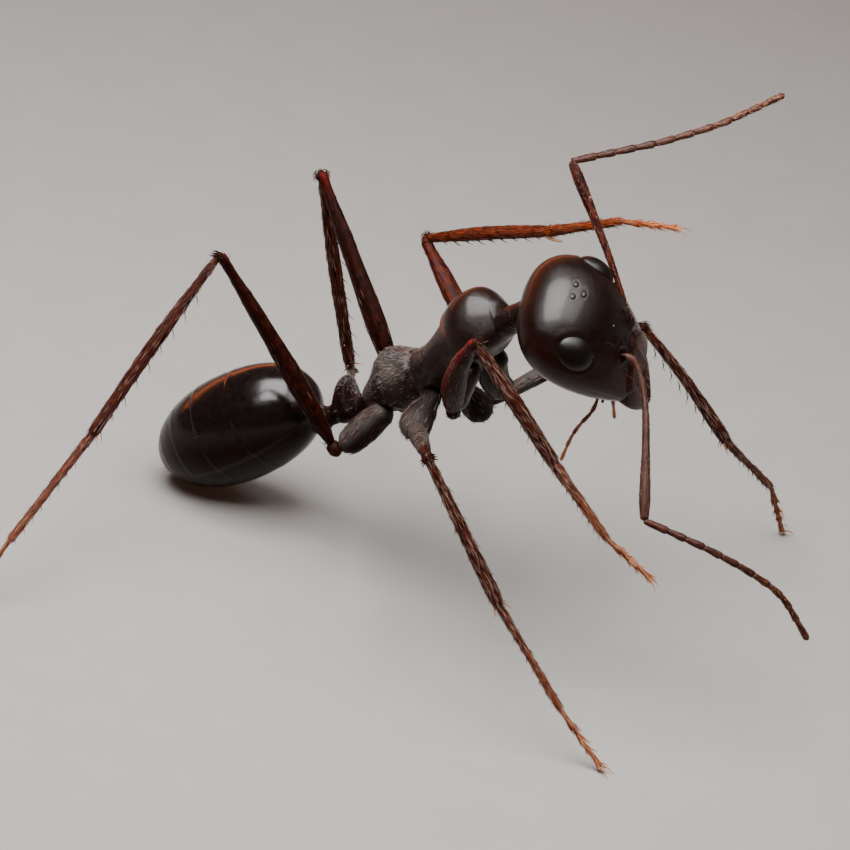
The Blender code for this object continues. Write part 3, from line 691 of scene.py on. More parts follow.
def growCoat(skin, name, slotName, *kinds):
    # every kind of hair grows by itself; all of them end in one mesh
    tufts = []
    for kind in kinds:
        holder = newObject(name + "_grower", skin.data)
        grower = holder.modifiers.new("grow", "NODES")
        grower.node_group = hairTree
        for label, value in kind.items():
            grower[hairSockets[label]] = mats[value] if label == "Material" else value
        depsgraph = bpy.context.evaluated_depsgraph_get()
        mesh = bpy.data.meshes.new_from_object(holder.evaluated_get(depsgraph))
        holder.modifiers.clear()
        bpy.data.objects.remove(holder)
        tufts.append(newObject(name, mesh))
    if len(tufts) > 1:
        with bpy.context.temp_override(active_object=tufts[0], selected_editable_objects=tufts):
            bpy.ops.object.join()
    coat = tufts[0]
    coat.name = name
    marks = coat.data.attributes
    for label in ("lie", "strand", "furry", "rim", "tuft", "SkinMap", "UVMap"):
        if label in marks:
            marks.remove(marks[label])
    # hairs near the soles stay above the floor
    for vertex in coat.data.vertices:
        vertex.co.z = max(vertex.co.z, 0.002 * mm)
    coat.data.shade_smooth()
    coatTriangles.append(sum(len(p.vertices) - 2 for p in coat.data.polygons))
    print("coat", name, coatTriangles[-1], "triangles")
    finishPiece(coat, slotName)


# head

head = {
    "halfLength": 1.34, "halfWidth": 1.25, "top": 0.9, "bottom": 0.85, "widest": -0.2,
    "back": -0.9995, "front": 0.93, "inset": 0.015, "rows": 96, "columns": 120, "lip": 0.1,
    "fullness": (2.5, 2.3, 1.9), "taper": ((0.42, 1.7), (0.66, 1.45), (0.46, 2.3)),
    "clypeusBack": 0.68, "clypeusWide": (0.24, 0.46), "clypeusRise": 0.045, "seam": 0.014,
    "keel": 0.02, "socket": (0.4, 0.57), "socketSize": 0.12, "socketDepth": 0.07, "socketRim": 0.022,
    "carinaOut": 0.22, "carinaRise": 0.04, "furrow": 0.012, "throatSeam": 0.012, "neckHollow": 0.05,
    "ocellusRing": (0.008, 0.075), "ocellusPit": 0.02, "eyeFurrow": 0.011, "eyeSwelling": 0.006,
    "cheekFold": 0.012, "cheekDegrees": 4.0,
    "eyeShare": -0.26, "eyeDegrees": 35.0, "eyeLength": 0.76, "eyeWidth": 0.66, "eyeRise": 0.12,
    "ocelli": ((0.0, -0.72), (0.13, -0.9), (-0.13, -0.9)), "ocellusSize": 0.046, "ocellusRise": 0.026,
}


def headSection(share):
    sizes = (head["halfWidth"], head["top"], head["bottom"])
    if share < head["widest"]:
        back = (head["widest"] - share) / (1.0 + head["widest"])
        return [size * roundedEnd(back, power) for size, power in zip(sizes, head["fullness"])]
    ahead = (share - head["widest"]) / (1.0 - head["widest"])
    return [size * (1.0 - loss * ahead ** power) for size, (loss, power) in zip(sizes, head["taper"])]


def headLocal(share, angle, inset=0.0):
    width, top, bottom = [max(0.001, size - inset) for size in headSection(share)]
    x, z = ovalPoint(angle, width, top, bottom, 2.1)
    return Vector((x, share * head["halfLength"], z))


def headAngle(share, out):
    # where the point of a section lies that is this far out from the middle
    return math.acos(max(-1.0, min(1.0, out / headSection(share)[0])))


def toHead(p):
    return inFrame(headCentre, headAxes, p.x, p.y, p.z)


def normalOf(spot, share, angle, step, middle):
    # the way out of a surface, from the places next to a spot
    along = spot(share + step, angle) - spot(share - step, angle)
    normal = along.cross(spot(share, angle + step) - spot(share, angle - step))
    if normal.length < 1e-12:
        return Vector((0.0, -1.0, 0.0))
    normal.normalize()
    return normal if normal.dot(spot(share, angle) - middle) > 0.0 else -normal


def headNormal(share, angle):
    return normalOf(headLocal, share, angle, 0.004, Vector())


def eyeReach(share, angle, side):
    # distance from the eye's middle, 1 at its rim
    width, top = headSection(share)[:2]
    turn = (angle - sideAngle(side, head["eyeDegrees"]) + math.pi) % fullTurn - math.pi
    along = (share - head["eyeShare"]) * head["halfLength"] / (0.5 * head["eyeLength"])
    return math.hypot(along, turn * 0.5 * (width + top) / (0.5 * head["eyeWidth"]))


def headRelief(p, share, angle):
    x, y = p.x, p.y
    upper = smooth(math.sin(angle), 0.1, 0.55)
    # clypeus: a raised shield over the mouth with a keel and a seam round it
    wide = head["clypeusWide"][0] + head["clypeusWide"][1] * smooth(y, head["clypeusBack"], 1.2)
    inside = min(wide - abs(x), y - head["clypeusBack"])
    rise = head["clypeusRise"] * smooth(inside, 0.0, 0.12)
    rise += head["keel"] * hump(x, 0.0, 0.05) * smooth(inside, 0.02, 0.2)
    rise -= head["seam"] * hump(inside, 0.0, 0.018)
    # antennal sockets with a raised rim, and the ridges beside them
    far = math.hypot(abs(x) - head["socket"][0], y - head["socket"][1])
    rise -= head["socketDepth"] * hump(far, 0.0, 0.75 * head["socketSize"])
    rise += head["socketRim"] * hump(far, 1.2 * head["socketSize"], 0.03)
    ridge = head["carinaOut"] + 0.12 * smooth(y, 0.75, 0.2)
    rise += head["carinaRise"] * hump(abs(x), ridge, 0.03) * window(y, 0.26, 0.72, 0.07)
    # frontal furrow and ocellar mound
    rise -= head["furrow"] * hump(x, 0.0, 0.014) * window(y, -0.55, 0.6, 0.08)
    for ox, oy in head["ocelli"]:
        near = math.hypot(x - ox, y - oy)
        rise += head["ocellusRing"][0] * hump(near, head["ocellusRing"][1], 0.022)
        rise -= head["ocellusPit"] * hump(near, 0.0, 0.04)
    # seam under the throat and neck opening
    under = head["throatSeam"] * hump(x, 0.0, 0.014) * window(y, -0.6, 1.1, 0.05)
    under += head["neckHollow"] * hump(math.hypot(x, y - pose["neckOnHead"][1]), 0.22, 0.05)
    rise = upper * rise - smooth(-math.sin(angle), 0.2, 0.7) * under
    # eye seats: a furrow round each eye with a soft swelling outside it
    for side in (1, -1):
        reach = eyeReach(share, angle, side)
        rise += head["eyeSwelling"] * hump(reach, 1.22, 0.1) - head["eyeFurrow"] * hump(reach, 1.04, 0.05)
    # cheek fold that runs from the eye to the jaw's root
    fold = hump(heightOf(angle), head["cheekDegrees"], 3.0) * window(y, 0.45, 1.15, 0.1)
    return rise - head["cheekFold"] * fold


def headSpot(share, angle):
    p = headLocal(share, angle, head["inset"])
    return p + headNormal(share, angle) * headRelief(p, share, angle)


def headShares():
    # rings crowd over the back of the head, then run evenly to the mouth
    rows, front, back = head["rows"], head["front"], head["back"]
    half = rows // 2
    shares = [back + (front - back) * (1.0 - math.cos(math.pi * (i / (rows - 1)) ** 0.9)) / 2.0
              for i in range(half)]
    last = shares[-1]
    return shares + [last + (front - last) * (k + 1) / (rows - half) for k in range(rows - half)]


def headRings():
    rings = [[headSpot(share, angle) for angle in turns(head["columns"], 0.5)] for share in headShares()]
    # the lip: the last ring turns inward over the jaws
    last = rings[-1]
    middle = sum(last, Vector()) / len(last)
    for k in range(1, 9):
        turn = 0.5 * math.pi * k / 8.0
        shrink = 0.06 + 0.94 * max(0.0, math.cos(turn)) ** 0.8
        forward = Vector((0.0, head["lip"] * math.sin(turn) * (1.0 if k < 6 else 0.9), 0.0))
        rings.append([middle + (p - middle) * shrink + forward for p in last])
    return [[toHead(p) for p in ring] for ring in rings]


def headFurry(share, turn):
    return 0.06 + 0.94 * smooth(share, 0.6, 0.95) * smooth(math.sin(fullTurn * turn), -0.2, 0.6)


def buildHead():
    skin = newSkin(1)
    addRings(skin, headRings(), headFurry, reach=(0.0, 1.0))
    makePiece(skin, "headCapsule", "head", ["headShell"], ["head"], (
        "headDown", "head",
        dict(Density=90.0, Length=0.055, Thickness=0.0022, Rise=0.25, Seed=3, Material="brownHair"),
        dict(Density=6.0, Length=0.2, Thickness=0.004, Rise=1.3, Disorder=0.25, Curve=0.3, Seed=4,
             Material="brownHair")))


def domeRings(share, angle, sizes, rise, rows, columns, shape=1.0, inset=0.015):
    # rings from below the rim up over a dome set on the head; sizes are in share and in angle
    def spot(reach, turn, height):
        s = share + sizes[0] * reach * math.cos(turn)
        a = angle + sizes[1] * reach * math.sin(turn)
        return toHead(headLocal(s, a, inset) + headNormal(s, a) * height)

    rings = [[spot(1.0, turn, -0.03) for turn in turns(columns)]]
    for i in range(rows):
        lift = 0.5 * math.pi * i / (rows - 1)
        reach, height = max(0.015, math.cos(lift)), rise * math.sin(lift) ** shape
        rings.append([spot(reach, turn, height) for turn in turns(columns)])
    return rings


def buildEye(name, side):
    width, top = headSection(head["eyeShare"])[:2]
    sizes = (0.5 * head["eyeLength"] / head["halfLength"], 0.5 * head["eyeWidth"] / (0.5 * (width + top)))
    skin = newSkin(1)
    addRings(skin, domeRings(head["eyeShare"], sideAngle(side, head["eyeDegrees"]), sizes,
                             head["eyeRise"], 26, 72, 1.6), 0.0)
    makePiece(skin, "eyeDome_" + name, "eye", ["facetEye"], ["eye_" + name])


def buildOcelli():
    skin = newSkin(2)
    for out, ahead in head["ocelli"]:
        share = ahead / head["halfLength"]
        sizes = (head["ocellusSize"] / head["halfLength"], head["ocellusSize"] / headSection(share)[1])
        addRings(skin, domeRings(share, headAngle(share, out), sizes, head["ocellusRise"], 8, 20), 0.0)
    makePiece(skin, "ocelli", "eye", ["facetEye"])


# jaws, mouth parts and palps

jaw = {
    "root": 1.2, "length": 0.93, "outer": (0.72, 0.54), "inner": 0.06, "thick": (0.27, 0.2),
    "drop": (0.08, 0.34), "teeth": 5, "toothDepth": 0.06, "rows": 60, "columns": 28,
}


def buildJaw(name, side):
    def spot(part, angle):
        outer = jaw["outer"][0] - jaw["outer"][1] * part ** 2.2
        saw = (part * jaw["teeth"] * 1.35) % 1.0
        bite = smooth(part, 0.28, 0.36) * (1.0 - saw) * jaw["toothDepth"] * (0.7 + 0.6 * part)
        inner = min(jaw["inner"] - 0.06 * smooth(part, 0.0, 0.35) - 0.04 * part + bite, outer - 0.05)
        thick = jaw["thick"][0] - jaw["thick"][1] * part ** 0.8
        width = (outer - inner) / 2.0
        x, z = ovalPoint(angle, width, thick, thick * 0.75, 1.8)
        # the biting edge is thinner than the outer one
        edge = smooth(-side * x / width, -0.2, 1.0)
        forward = jaw["root"] + jaw["length"] * part + 0.06 * edge
        drop = jaw["drop"][0] + jaw["drop"][1] * part ** 1.5
        return toHead(Vector((side * (inner + outer) / 2.0 + x, forward, z * (1.0 - 0.55 * edge) - drop)))

    skin = newSkin(1)
    addRings(skin, ringRows(jaw["rows"], jaw["columns"], spot),
             lambda share, turn: smooth(share, 0.1, 0.5), reach=(0.2, 1.0))
    makePiece(skin, "jaw_" + name, "mandible", ["jawShell"], ["mandible_" + name], (
        "jawBristles_" + name, "mandible",
        dict(Density=26.0, Length=0.16, Thickness=0.004, Rise=0.6, Disorder=0.25, Curve=0.3,
             Seed=12 + side, Material="paleHair")))


palp = {
    "root": (0.38, 1.05), "radius": 0.042, "joints": 6,
    "joint": ((0.0, 0.62), (0.16, 0.78), (0.7, 1.0), (0.95, 0.9), (1.0, 0.6)),
    "steps": {1: ((0.14, 0.32, -0.3), (0.2, 0.12, -0.72), (0.26, 0.3, -0.56)),
              -1: ((0.1, 0.42, -0.3), (0.1, 0.6, -0.66), (0.0, 0.6, -0.55))},
    "labial": ((0.06, 0.26, -0.2), (0.02, 0.22, -0.3)), "labialCuts": (0.0, 0.28, 0.54, 0.78, 1.0),
}
lips = {
    # how far out, half width, half depth and how far forward each swelling of the lower lip sits
    "lower": ((0.0, 0.2, 0.16, 0.85), (0.27, 0.17, 0.15, 0.78), (-0.27, 0.17, 0.15, 0.78)),
    "upperWide": (0.42, 0.1), "upperThick": 0.09, "upperLong": 0.36, "upperDrop": 0.22,
}


def segmentChain(skin, path, cuts, radius, shape, columns, reach, taper=0.85, mat=0):
    # joints of one limb, each a little wider towards its far end
    rows = [i / 11 for i in range(12)]
    for k, (t0, t1) in enumerate(zip(cuts, cuts[1:])):
        share = k / max(1, len(cuts) - 2)
        r = radius * (1.0 - (1.0 - taper) * share)
        rings = sweep([alongPath(path, t0 + (t1 - t0) * t) for t in rows],
                      [r * profileAt(t, shape) for t in rows], columns)
        addRings(skin, rings, reach=(reach[0] + (reach[1] - reach[0]) * share,) * 2, mat=mat)


def buildMouthParts():
    skin = newSkin(4)
    for out, wide, deep, forward in lips["lower"]:
        def swell(t, angle):
            size = math.sin(math.pi * min(0.995, max(0.02, t))) ** 0.6
            y = forward + 0.62 * t
            bottom = headSection(min(0.93, y / head["halfLength"]))[2]
            x, z = ovalPoint(angle, wide * size, deep * size, deep * size, 2.0)
            return toHead(Vector((out + x, y, 0.1 + 0.12 * smooth(t, 0.6, 1.0) - bottom - 0.02 + z)))

        addRings(skin, ringRows(22, 24, swell), reach=(0.0, 0.3))

    # upper lip: a broad flap hanging from the front margin between the jaws
    def flap(t, angle):
        thin = lips["upperThick"] * math.sqrt(max(0.02, 1.0 - t ** 3))
        x, z = ovalPoint(angle, lips["upperWide"][0] - lips["upperWide"][1] * t, thin, thin, 2.6)
        return toHead(Vector((x, 1.1 + lips["upperLong"] * t, 0.02 - lips["upperDrop"] * t * t + z)))

    addRings(skin, ringRows(18, 28, flap), 0.3, reach=(0.2, 0.4))
    for side in (1, -1):
        path = [Vector((side * 0.1, 1.12, -0.52))]
        for right, forward, up in palp["labial"]:
            path.append(path[-1] + Vector((side * right, forward, up)))
        path = [toHead(p) for p in roundPath(path, 14)]
        segmentChain(skin, path, palp["labialCuts"], 0.034, palp["joint"], 12, (0.3, 0.6))
    makePiece(skin, "mouthParts", "mandible", ["jawShell"])


def buildPalp(name, side):
    share = palp["root"][1] / head["halfLength"]
    path = [toHead(headLocal(share, -headAngle(share, side * palp["root"][0]), 0.05))]
    for right, forward, up in palp["steps"][side]:
        path.append(inFrame(path[-1], headAxes, side * right, forward, up))
    skin = newSkin(3)
    cuts = [k / palp["joints"] for k in range(palp["joints"] + 1)]
    segmentChain(skin, roundPath(path, 40), cuts, palp["radius"], palp["joint"], 16, (0.3, 0.9))
    makePiece(skin, "palpChain_" + name, "palp", ["palpShell"], ["palp_" + name], (
        "palpHair_" + name, "palp",
        dict(Density=420.0, Length=0.07, Thickness=0.0022, Rise=0.5, Curve=0.2, Seed=21,
             Material="brownHair")))


# antennae: a long elbowed shaft and eleven joints

antennae = {
    "right": dict(scape=(-115, -49, 3.1), bow=0.33, bowWay=(0.69, -0.7, 0.17), lean=0.45,
                  flagellum=((-50, -15, 1.15), (-39, -24, 0.95), (-37, -31, 0.9), (-32, -54, 1.15)),
                  mat="flagellumShell"),
    "left": dict(scape=(84, 41, 3.1), bow=0.05, bowWay=(0.6, -0.4, 0.2), lean=0.7,
                 flagellum=((-31, 15, 1.7), (-31, 21, 1.15), (-19, 23, 1.3)), mat="limbShell"),
}
antennaSize = {
    "socket": (0.4, 0.57, 0.72), "columns": 24, "radius": 0.072,
    "shaft": ((0.0, 0.055), (0.035, 0.07), (0.07, 0.046), (0.15, 0.05), (0.5, 0.07), (0.88, 0.104),
              (1.0, 0.08)),
    "joints": (0.0, 0.115, 0.2, 0.29, 0.38, 0.47, 0.56, 0.65, 0.735, 0.815, 0.89, 1.0),
    "joint": ((0.0, 0.74), (0.16, 0.84), (0.8, 1.0), (0.95, 0.96), (1.0, 0.7)),
    "tip": ((0.0, 0.055), (1.0, 0.03)),
}


def buildAntenna(name, side):
    data, columns = antennae[name], antennaSize["columns"]
    out, ahead, up = antennaSize["socket"]
    socket = toHead(Vector((side * out, ahead, up)))
    elbow = walk(socket, [data["scape"]])[-1]
    share = ahead / head["halfLength"]
    root = toHead(headLocal(share, headAngle(share, side * out), 0.06))
    skin = newSkin(4)
    bow = Vector(data["bowWay"]).normalized() * data["bow"]
    shaft = limbRings(root, elbow, antennaSize["shaft"], 56, columns, bow, data["lean"])
    addRings(skin, shaft, reach=(0.1, 0.55))
    chain = roundPath(walk(elbow, data["flagellum"]), 90, 0.08)
    segmentChain(skin, chain, antennaSize["joints"], antennaSize["radius"], antennaSize["joint"], columns,
                 (0.55, 1.0), 0.9, 1)
    end = chain[-1] + (chain[-1] - chain[-3]).normalized() * 0.03
    addRings(skin, limbRings(chain[-3], end, antennaSize["tip"], 10, columns), reach=(1.0, 1.0), mat=1)
    makePiece(skin, "antenna_" + name, "scape", [data["mat"], "flagellumShell"],
              ["scape_" + name, "flagellum_" + name], (
        "antennaDown_" + name, "flagellum",
        dict(Density=150.0, Length=0.05, Thickness=0.0048, Rise=0.2, Seed=31, Material="silverHair"),
        dict(Density=320.0, Length=0.05, Thickness=0.006, Rise=0.2, Seed=32, Material="brownHair")))


buildHead()
for name, side in (("right", 1), ("left", -1)):
    for build in (buildEye, buildJaw, buildPalp, buildAntenna):
        build(name, side)
buildOcelli()
buildMouthParts()
print("head, eyes, jaws, palps and antennae made")


# trunk: pronotum, mesothorax and propodeum as one shell with its seams

trunk = {
    "length": 4.5, "front": 0.42, "inset": 0.02, "rows": 170, "columns": 112,
    "top": (0.38, ((0.5, 0.98, 0.9), (0.33, 3.5, 0.44))),
    "bottom": (0.26, ((0.38, 2.1, 1.15), (0.16, 3.6, 0.6))),
    "width": (0.28, ((0.47, 1.1, 0.62), (0.27, 2.2, 0.6), (0.28, 3.5, 0.62))),
    "neckCollar": (0.5, 0.32), "rearCollar": (0.55, 0.55),
    "pronotumEnd": 1.5, "collarSlant": 0.42, "edge": 0.016, "step": 0.05, "stepRun": 0.16,
    "groove": 2.85, "grooveDepth": (0.018, 0.022), "grooveLip": 0.006, "flankSeam": 0.022,
    "backSeam": 0.016, "lowSeam": 0.02, "gland": 0.03, "dents": 0.016, "hipRim": 0.03,
    "spiracles": ((2.72, 48.0, 0.035), (3.52, 22.0, 0.05)),
}
# share of the trunk's length and degrees below its side where each leg is set in
hips = {"front": (0.29, 62.0), "mid": (0.58, 56.0), "hind": (0.86, 48.0)}


def swelling(x, shape):
    return shape[0] + sum(height * hump(x, place, wide) for height, place, wide in shape[1])


def collar(distance, shape):
    first, run = shape
    return math.sin(0.5 * math.pi * min(1.0, first + (1.0 - first) * distance / run))


def trunkSpot(behind, angle, inset=0.0):
    ends = collar(behind - trunk["front"], trunk["neckCollar"])
    ends *= collar(trunk["length"] - behind, trunk["rearCollar"])
    sizes = [swelling(behind, trunk[key]) * ends - inset for key in ("width", "top", "bottom")]
    x, z = ovalPoint(angle, *sizes, 2.2)
    return inFrame(neckJoint, trunkAxes, x, -behind, z)


def trunkEdge(height):
    # the pronotum's rear edge slants forward down the side
    return trunk["pronotumEnd"] - trunk["collarSlant"] * smooth(height, 40.0, -50.0)


def trunkRelief(behind, angle):
    height = heightOf(angle)
    # the pronotum steps down to the next plate
    past = behind - trunkEdge(height)
    rise = trunk["edge"] * hump(past, -0.05, 0.05)
    if past > 0.0:
        rise -= trunk["step"] * math.exp(-past / trunk["stepRun"])
    # groove before the propodeum, turned forward as it runs down
    rear = behind - trunk["groove"] - 0.1 * smooth(height, 30.0, -40.0)
    low, more = trunk["grooveDepth"]
    rise -= (more * smooth(height, -10.0, 40.0) + low) * hump(rear, 0.0, 0.06)
    rise += trunk["grooveLip"] * (hump(rear, 0.12, 0.07) + hump(rear, -0.12, 0.07))
    # seams between the plates of the flank, and the gland's swelling and mouth above the hind leg
    seam = hump(height, -4.0 - 14.0 * (behind - 2.2), 2.6)
    rise -= trunk["flankSeam"] * seam * window(behind, 1.55, 2.8, 0.06)
    seam = hump(behind, 2.12 + 0.25 * smooth(height, 0.0, 70.0), 0.02)
    rise -= trunk["backSeam"] * seam * window(height, 12.0, 62.0, 6.0)
    rise -= trunk["lowSeam"] * hump(height, -30.0, 2.8) * window(behind, 3.0, 4.1, 0.08)
    rise += trunk["gland"] * hump(behind, 3.95, 0.12) * hump(height, -38.0, 12.0)
    rise -= trunk["gland"] * hump(behind, 4.08, 0.05) * hump(height, -34.0, 7.0)
    # wide slow dents of the shell
    dents = math.sin(3.1 * behind + 1.0) * math.sin(2.0 * angle + 0.6)
    rise += trunk["dents"] * dents * (1.0 - abs(math.sin(angle)))
    for place, degrees, size in trunk["spiracles"]:
        near = math.hypot(behind - place, math.radians(height - degrees) * 0.6)
        rise += 0.022 * hump(near, 1.35 * size, 0.4 * size) - 0.07 * hump(near, 0.0, 0.8 * size)
    # rims where the legs are set in
    for share, below in hips.values():
        near = math.hypot(behind - share * trunk["length"], math.radians(height + below) * 0.55)
        rise += trunk["hipRim"] * (hump(near, 0.32, 0.06) - hump(near, 0.0, 0.25))
    return rise


def trunkFurry(share, turn):
    behind = trunk["front"] + share * (trunk["length"] - trunk["front"])
    upper = smooth(math.sin(fullTurn * turn), -0.1, 0.5)
    return smooth(behind, 2.6, 2.9) * (0.12 + 0.88 * upper)


def paintedTrunkGlow(share, turn):
    # painted glow: the thin edge of the front plate, and the ridge behind it, turn red on their upper side as
    # if lit through from behind
    behind = trunk["front"] + share * (trunk["length"] - trunk["front"])
    height = heightOf(fullTurn * turn)
    ridge = hump(behind, 2.0, 0.5) * smooth(height, 30.0, 80.0)
    return 0.9 * smooth(height, 8.0, 50.0) * hump(behind - trunkEdge(height), -0.04, 0.07) + 0.3 * ridge


def buildTrunk():
    def spot(t, angle):
        behind = trunk["front"] + (trunk["length"] - 0.1 - trunk["front"]) * t
        axis = inFrame(neckJoint, trunkAxes, 0.0, -behind, 0.0)
        out = normalOf(trunkSpot, behind, angle, 0.01, axis)
        return trunkSpot(behind, angle, trunk["inset"]) + out * trunkRelief(behind, angle)

    rings = ringRows(trunk["rows"], trunk["columns"], spot, 0.5)
    # both ends roll inward to a blunt rim
    for end, way in ((0, 1.0), (-1, -1.0)):
        last = rings[end]
        middle = sum(last, Vector()) / len(last)
        for k in range(1, 7):
            turn = 0.5 * math.pi * k / 6.0
            forward = trunkAxes[1] * (way * 0.07 * math.sin(turn))
            ring = [middle + (p - middle) * (0.35 + 0.65 * math.cos(turn)) + forward for p in last]
            rings.insert(len(rings) * -end, ring)
    skin = newSkin(1)
    addRings(skin, rings, trunkFurry, reach=(0.0, 1.0), rim=paintedTrunkGlow)
    makePiece(skin, "trunkShell", "trunk", ["trunkShell"], ["pronotum", "mesothorax", "propodeum"], (
        "trunkDown", "propodeum",
        dict(Density=560.0, Length=0.085, Thickness=0.0042, Rise=0.22, Disorder=0.3, Seed=41,
             Material="downHair")))


neck = {
    "radii": ((0.0, 0.3), (0.25, 0.31), (0.5, 0.27), (0.8, 0.245), (1.0, 0.26)), "rows": 60,
    "columns": 56, "wrinkle": 0.006, "flat": 0.85,
}


def buildNeck():
    front = inFrame(neckJoint, trunkAxes, 0.0, -0.62, -0.05)
    share = pose["neckOnHead"][1] / head["halfLength"]
    deep, out = [toHead(headLocal(share, math.radians(-90.0), inset)) for inset in (0.25, 0.0)]
    path = roundPath([front, deep + (out - deep).normalized() * 0.4, deep], neck["rows"], 0.25)
    steps = [i / (neck["rows"] - 1) for i in range(neck["rows"])]
    radii = [profileAt(t, neck["radii"]) + neck["wrinkle"] * math.sin(60.0 * t) * smooth(t, 0.25, 0.5)
             for t in steps]
    skin = newSkin(1)
    addRings(skin, sweep(path, radii, neck["columns"], neck["flat"]), 0.6)
    makePiece(skin, "neckSleeve", "trunk", ["trunkShell"], ["neck"])


petiole = {
    "length": 1.13, "stalk": 0.19, "node": (0.44, 0.19), "swell": (0.2, 0.42, 0.05), "lean": 0.5,
    "rows": 72, "columns": 64, "into": (0.16, 0.05),
}
trunkRear = inFrame(neckJoint, trunkAxes, 0.0, -trunk["length"], 0.0)
petioleAxis = direction(pose["petioleAzimuth"], -pose["petioleDrop"])
petioleRear = trunkRear + petioleAxis * petiole["length"]


def buildPetiole():
    right = -petioleAxis.cross(trunkAxes[2]).normalized()
    up = right.cross(-petioleAxis)
    first = trunkRear - petioleAxis * petiole["into"][0]
    last = petioleRear + petioleAxis * petiole["into"][1]
    length = (last - first).length

    def spot(t, angle):
        place = (t * length - petiole["into"][0]) / petiole["length"]
        lump = math.exp(-(abs(place - petiole["node"][0]) / petiole["node"][1]) ** 4.5)
        flare = 0.08 * smooth(place, 0.82, 1.0) + 0.06 * smooth(place, 0.12, 0.0)
        width, top, bottom = [petiole["stalk"] + swell * lump + flare for swell in petiole["swell"]]
        top -= 0.02 * hump(place, 0.28, 0.04) + 0.02 * hump(place, 0.8, 0.04)
        x, z = ovalPoint(angle, width, top, bottom, 2.0)
        raised = max(0.0, z - petiole["stalk"])
        slide = -petiole["lean"] * raised * max(0.0, 1.0 - abs(2.0 * place - 1.0))
        return first.lerp(last, t) + right * x + up * z + petioleAxis * slide

    skin = newSkin(1)
    addRings(skin, ringRows(petiole["rows"], petiole["columns"], spot),
             lambda share, turn: 0.06 + 0.94 * smooth(math.sin(fullTurn * turn), 0.7, 1.0))
    makePiece(skin, "petioleNode", "propodeum", ["petioleShell"], ["petiole"], (
        "petioleDown", "propodeum",
        dict(Density=700.0, Length=0.075, Thickness=0.0042, Rise=0.16, Disorder=0.25, Seed=61,
             Material="downHair")))


gaster = {
    "halfLength": 1.72, "halfWidth": 1.02, "halfHeight": 1.04, "joint": (-0.92, math.radians(-80.0)),
    "inset": 0.015, "rows": 190, "columns": 120, "edges": (-0.2, 0.26, 0.6, 0.84), "step": 0.006,
    "stepRun": 0.09, "lip": 0.004, "sideSeam": -24.0, "lap": 0.02, "lapGroove": 0.012, "spoutLength": 0.13,
    "spout": ((0.0, 0.11), (0.7, 0.075), (1.0, 0.05)),
    "waist": ((0.0, 0.2), (0.4, 0.3), (1.0, 0.36)),
}
gasterAxis = direction(pose["gasterAzimuth"], -pose["gasterDrop"])
gasterRight = -gasterAxis.cross(skyward).normalized()
gasterUp = gasterRight.cross(-gasterAxis)


def gasterOffset(share, angle, inset=0.0, rise=0.0):
    size = roundedEnd(share, 2.3 if share < 0.0 else 2.05)
    wide, high = [max(0.004, gaster[key] * size - inset) + rise for key in ("halfWidth", "halfHeight")]
    x, z = ovalPoint(angle, wide, high, high, 2.0)
    return gasterRight * x + gasterAxis * (share * gaster["halfLength"]) + gasterUp * z


gasterCentre = petioleRear - gasterOffset(*gaster["joint"])


def gasterRelief(share, angle):
    height, seam = heightOf(angle), gaster["sideSeam"]
    rise = 0.0
    for edge in gaster["edges"]:
        # each plate ends in a thin lip over the next
        past = share - edge + 0.05 * smooth(height, 10.0, -60.0)
        if past > 0.0:
            rise -= gaster["step"] * math.exp(-past / gaster["stepRun"])
        rise += gaster["lip"] * hump(past, -0.03, 0.03)
    # back plates lap over the belly plates along the flank
    step = gaster["lap"] * smooth(height, seam + 3.0, seam - 3.0) * smooth(height, -80.0, seam)
    step += gaster["lapGroove"] * hump(height, seam, 2.0)
    return rise - window(share, -0.75, 0.9, 0.12) * step


def buildGaster():
    def spot(t, angle):
        share = 0.998 * (-math.cos(math.pi * t) * 0.5 + (2.0 * t - 1.0) * 0.5)
        rise = gasterRelief(share, angle) * smooth(1.0 - abs(share), 0.0, 0.05)
        return gasterCentre + gasterOffset(share, angle, gaster["inset"], rise)

    skin = newSkin(2)
    addRings(skin, ringRows(gaster["rows"], gaster["columns"], spot),
             lambda share, turn: 0.5 + 0.5 * smooth(share, 0.5, 0.95), reach=(0.0, 1.0))
    # the spout at the tip and the short waist that meets the petiole
    tip = gasterCentre + gasterAxis * (0.95 * gaster["halfLength"])
    end = tip + gasterAxis * gaster["spoutLength"]
    addRings(skin, limbRings(tip, end, gaster["spout"], 14, 24), reach=(1.0, 1.0))
    inward = (gasterCentre - petioleRear).normalized() * 0.3
    waist = limbRings(petioleRear - inward * 0.3, petioleRear + inward, gaster["waist"], 20, 40)
    addRings(skin, waist, 0.4)
    nodes = ["gaster_" + part for part in ("first", "second", "third", "tip")]
    makePiece(skin, "gasterShell", "gaster", ["gasterShell"], nodes, (
        "gasterDown", "gaster",
        dict(Density=40.0, Length=0.06, Thickness=0.0024, Rise=0.15, Disorder=0.12, Seed=51,
             Material="brownHair"),
        dict(Density=2.5, Length=0.2, Thickness=0.004, Rise=0.9, Curve=0.25, Seed=52,
             Material="brownHair")))


for build in (buildTrunk, buildNeck, buildPetiole, buildGaster):
    build()
print("trunk, neck, petiole and gaster made")


# legs

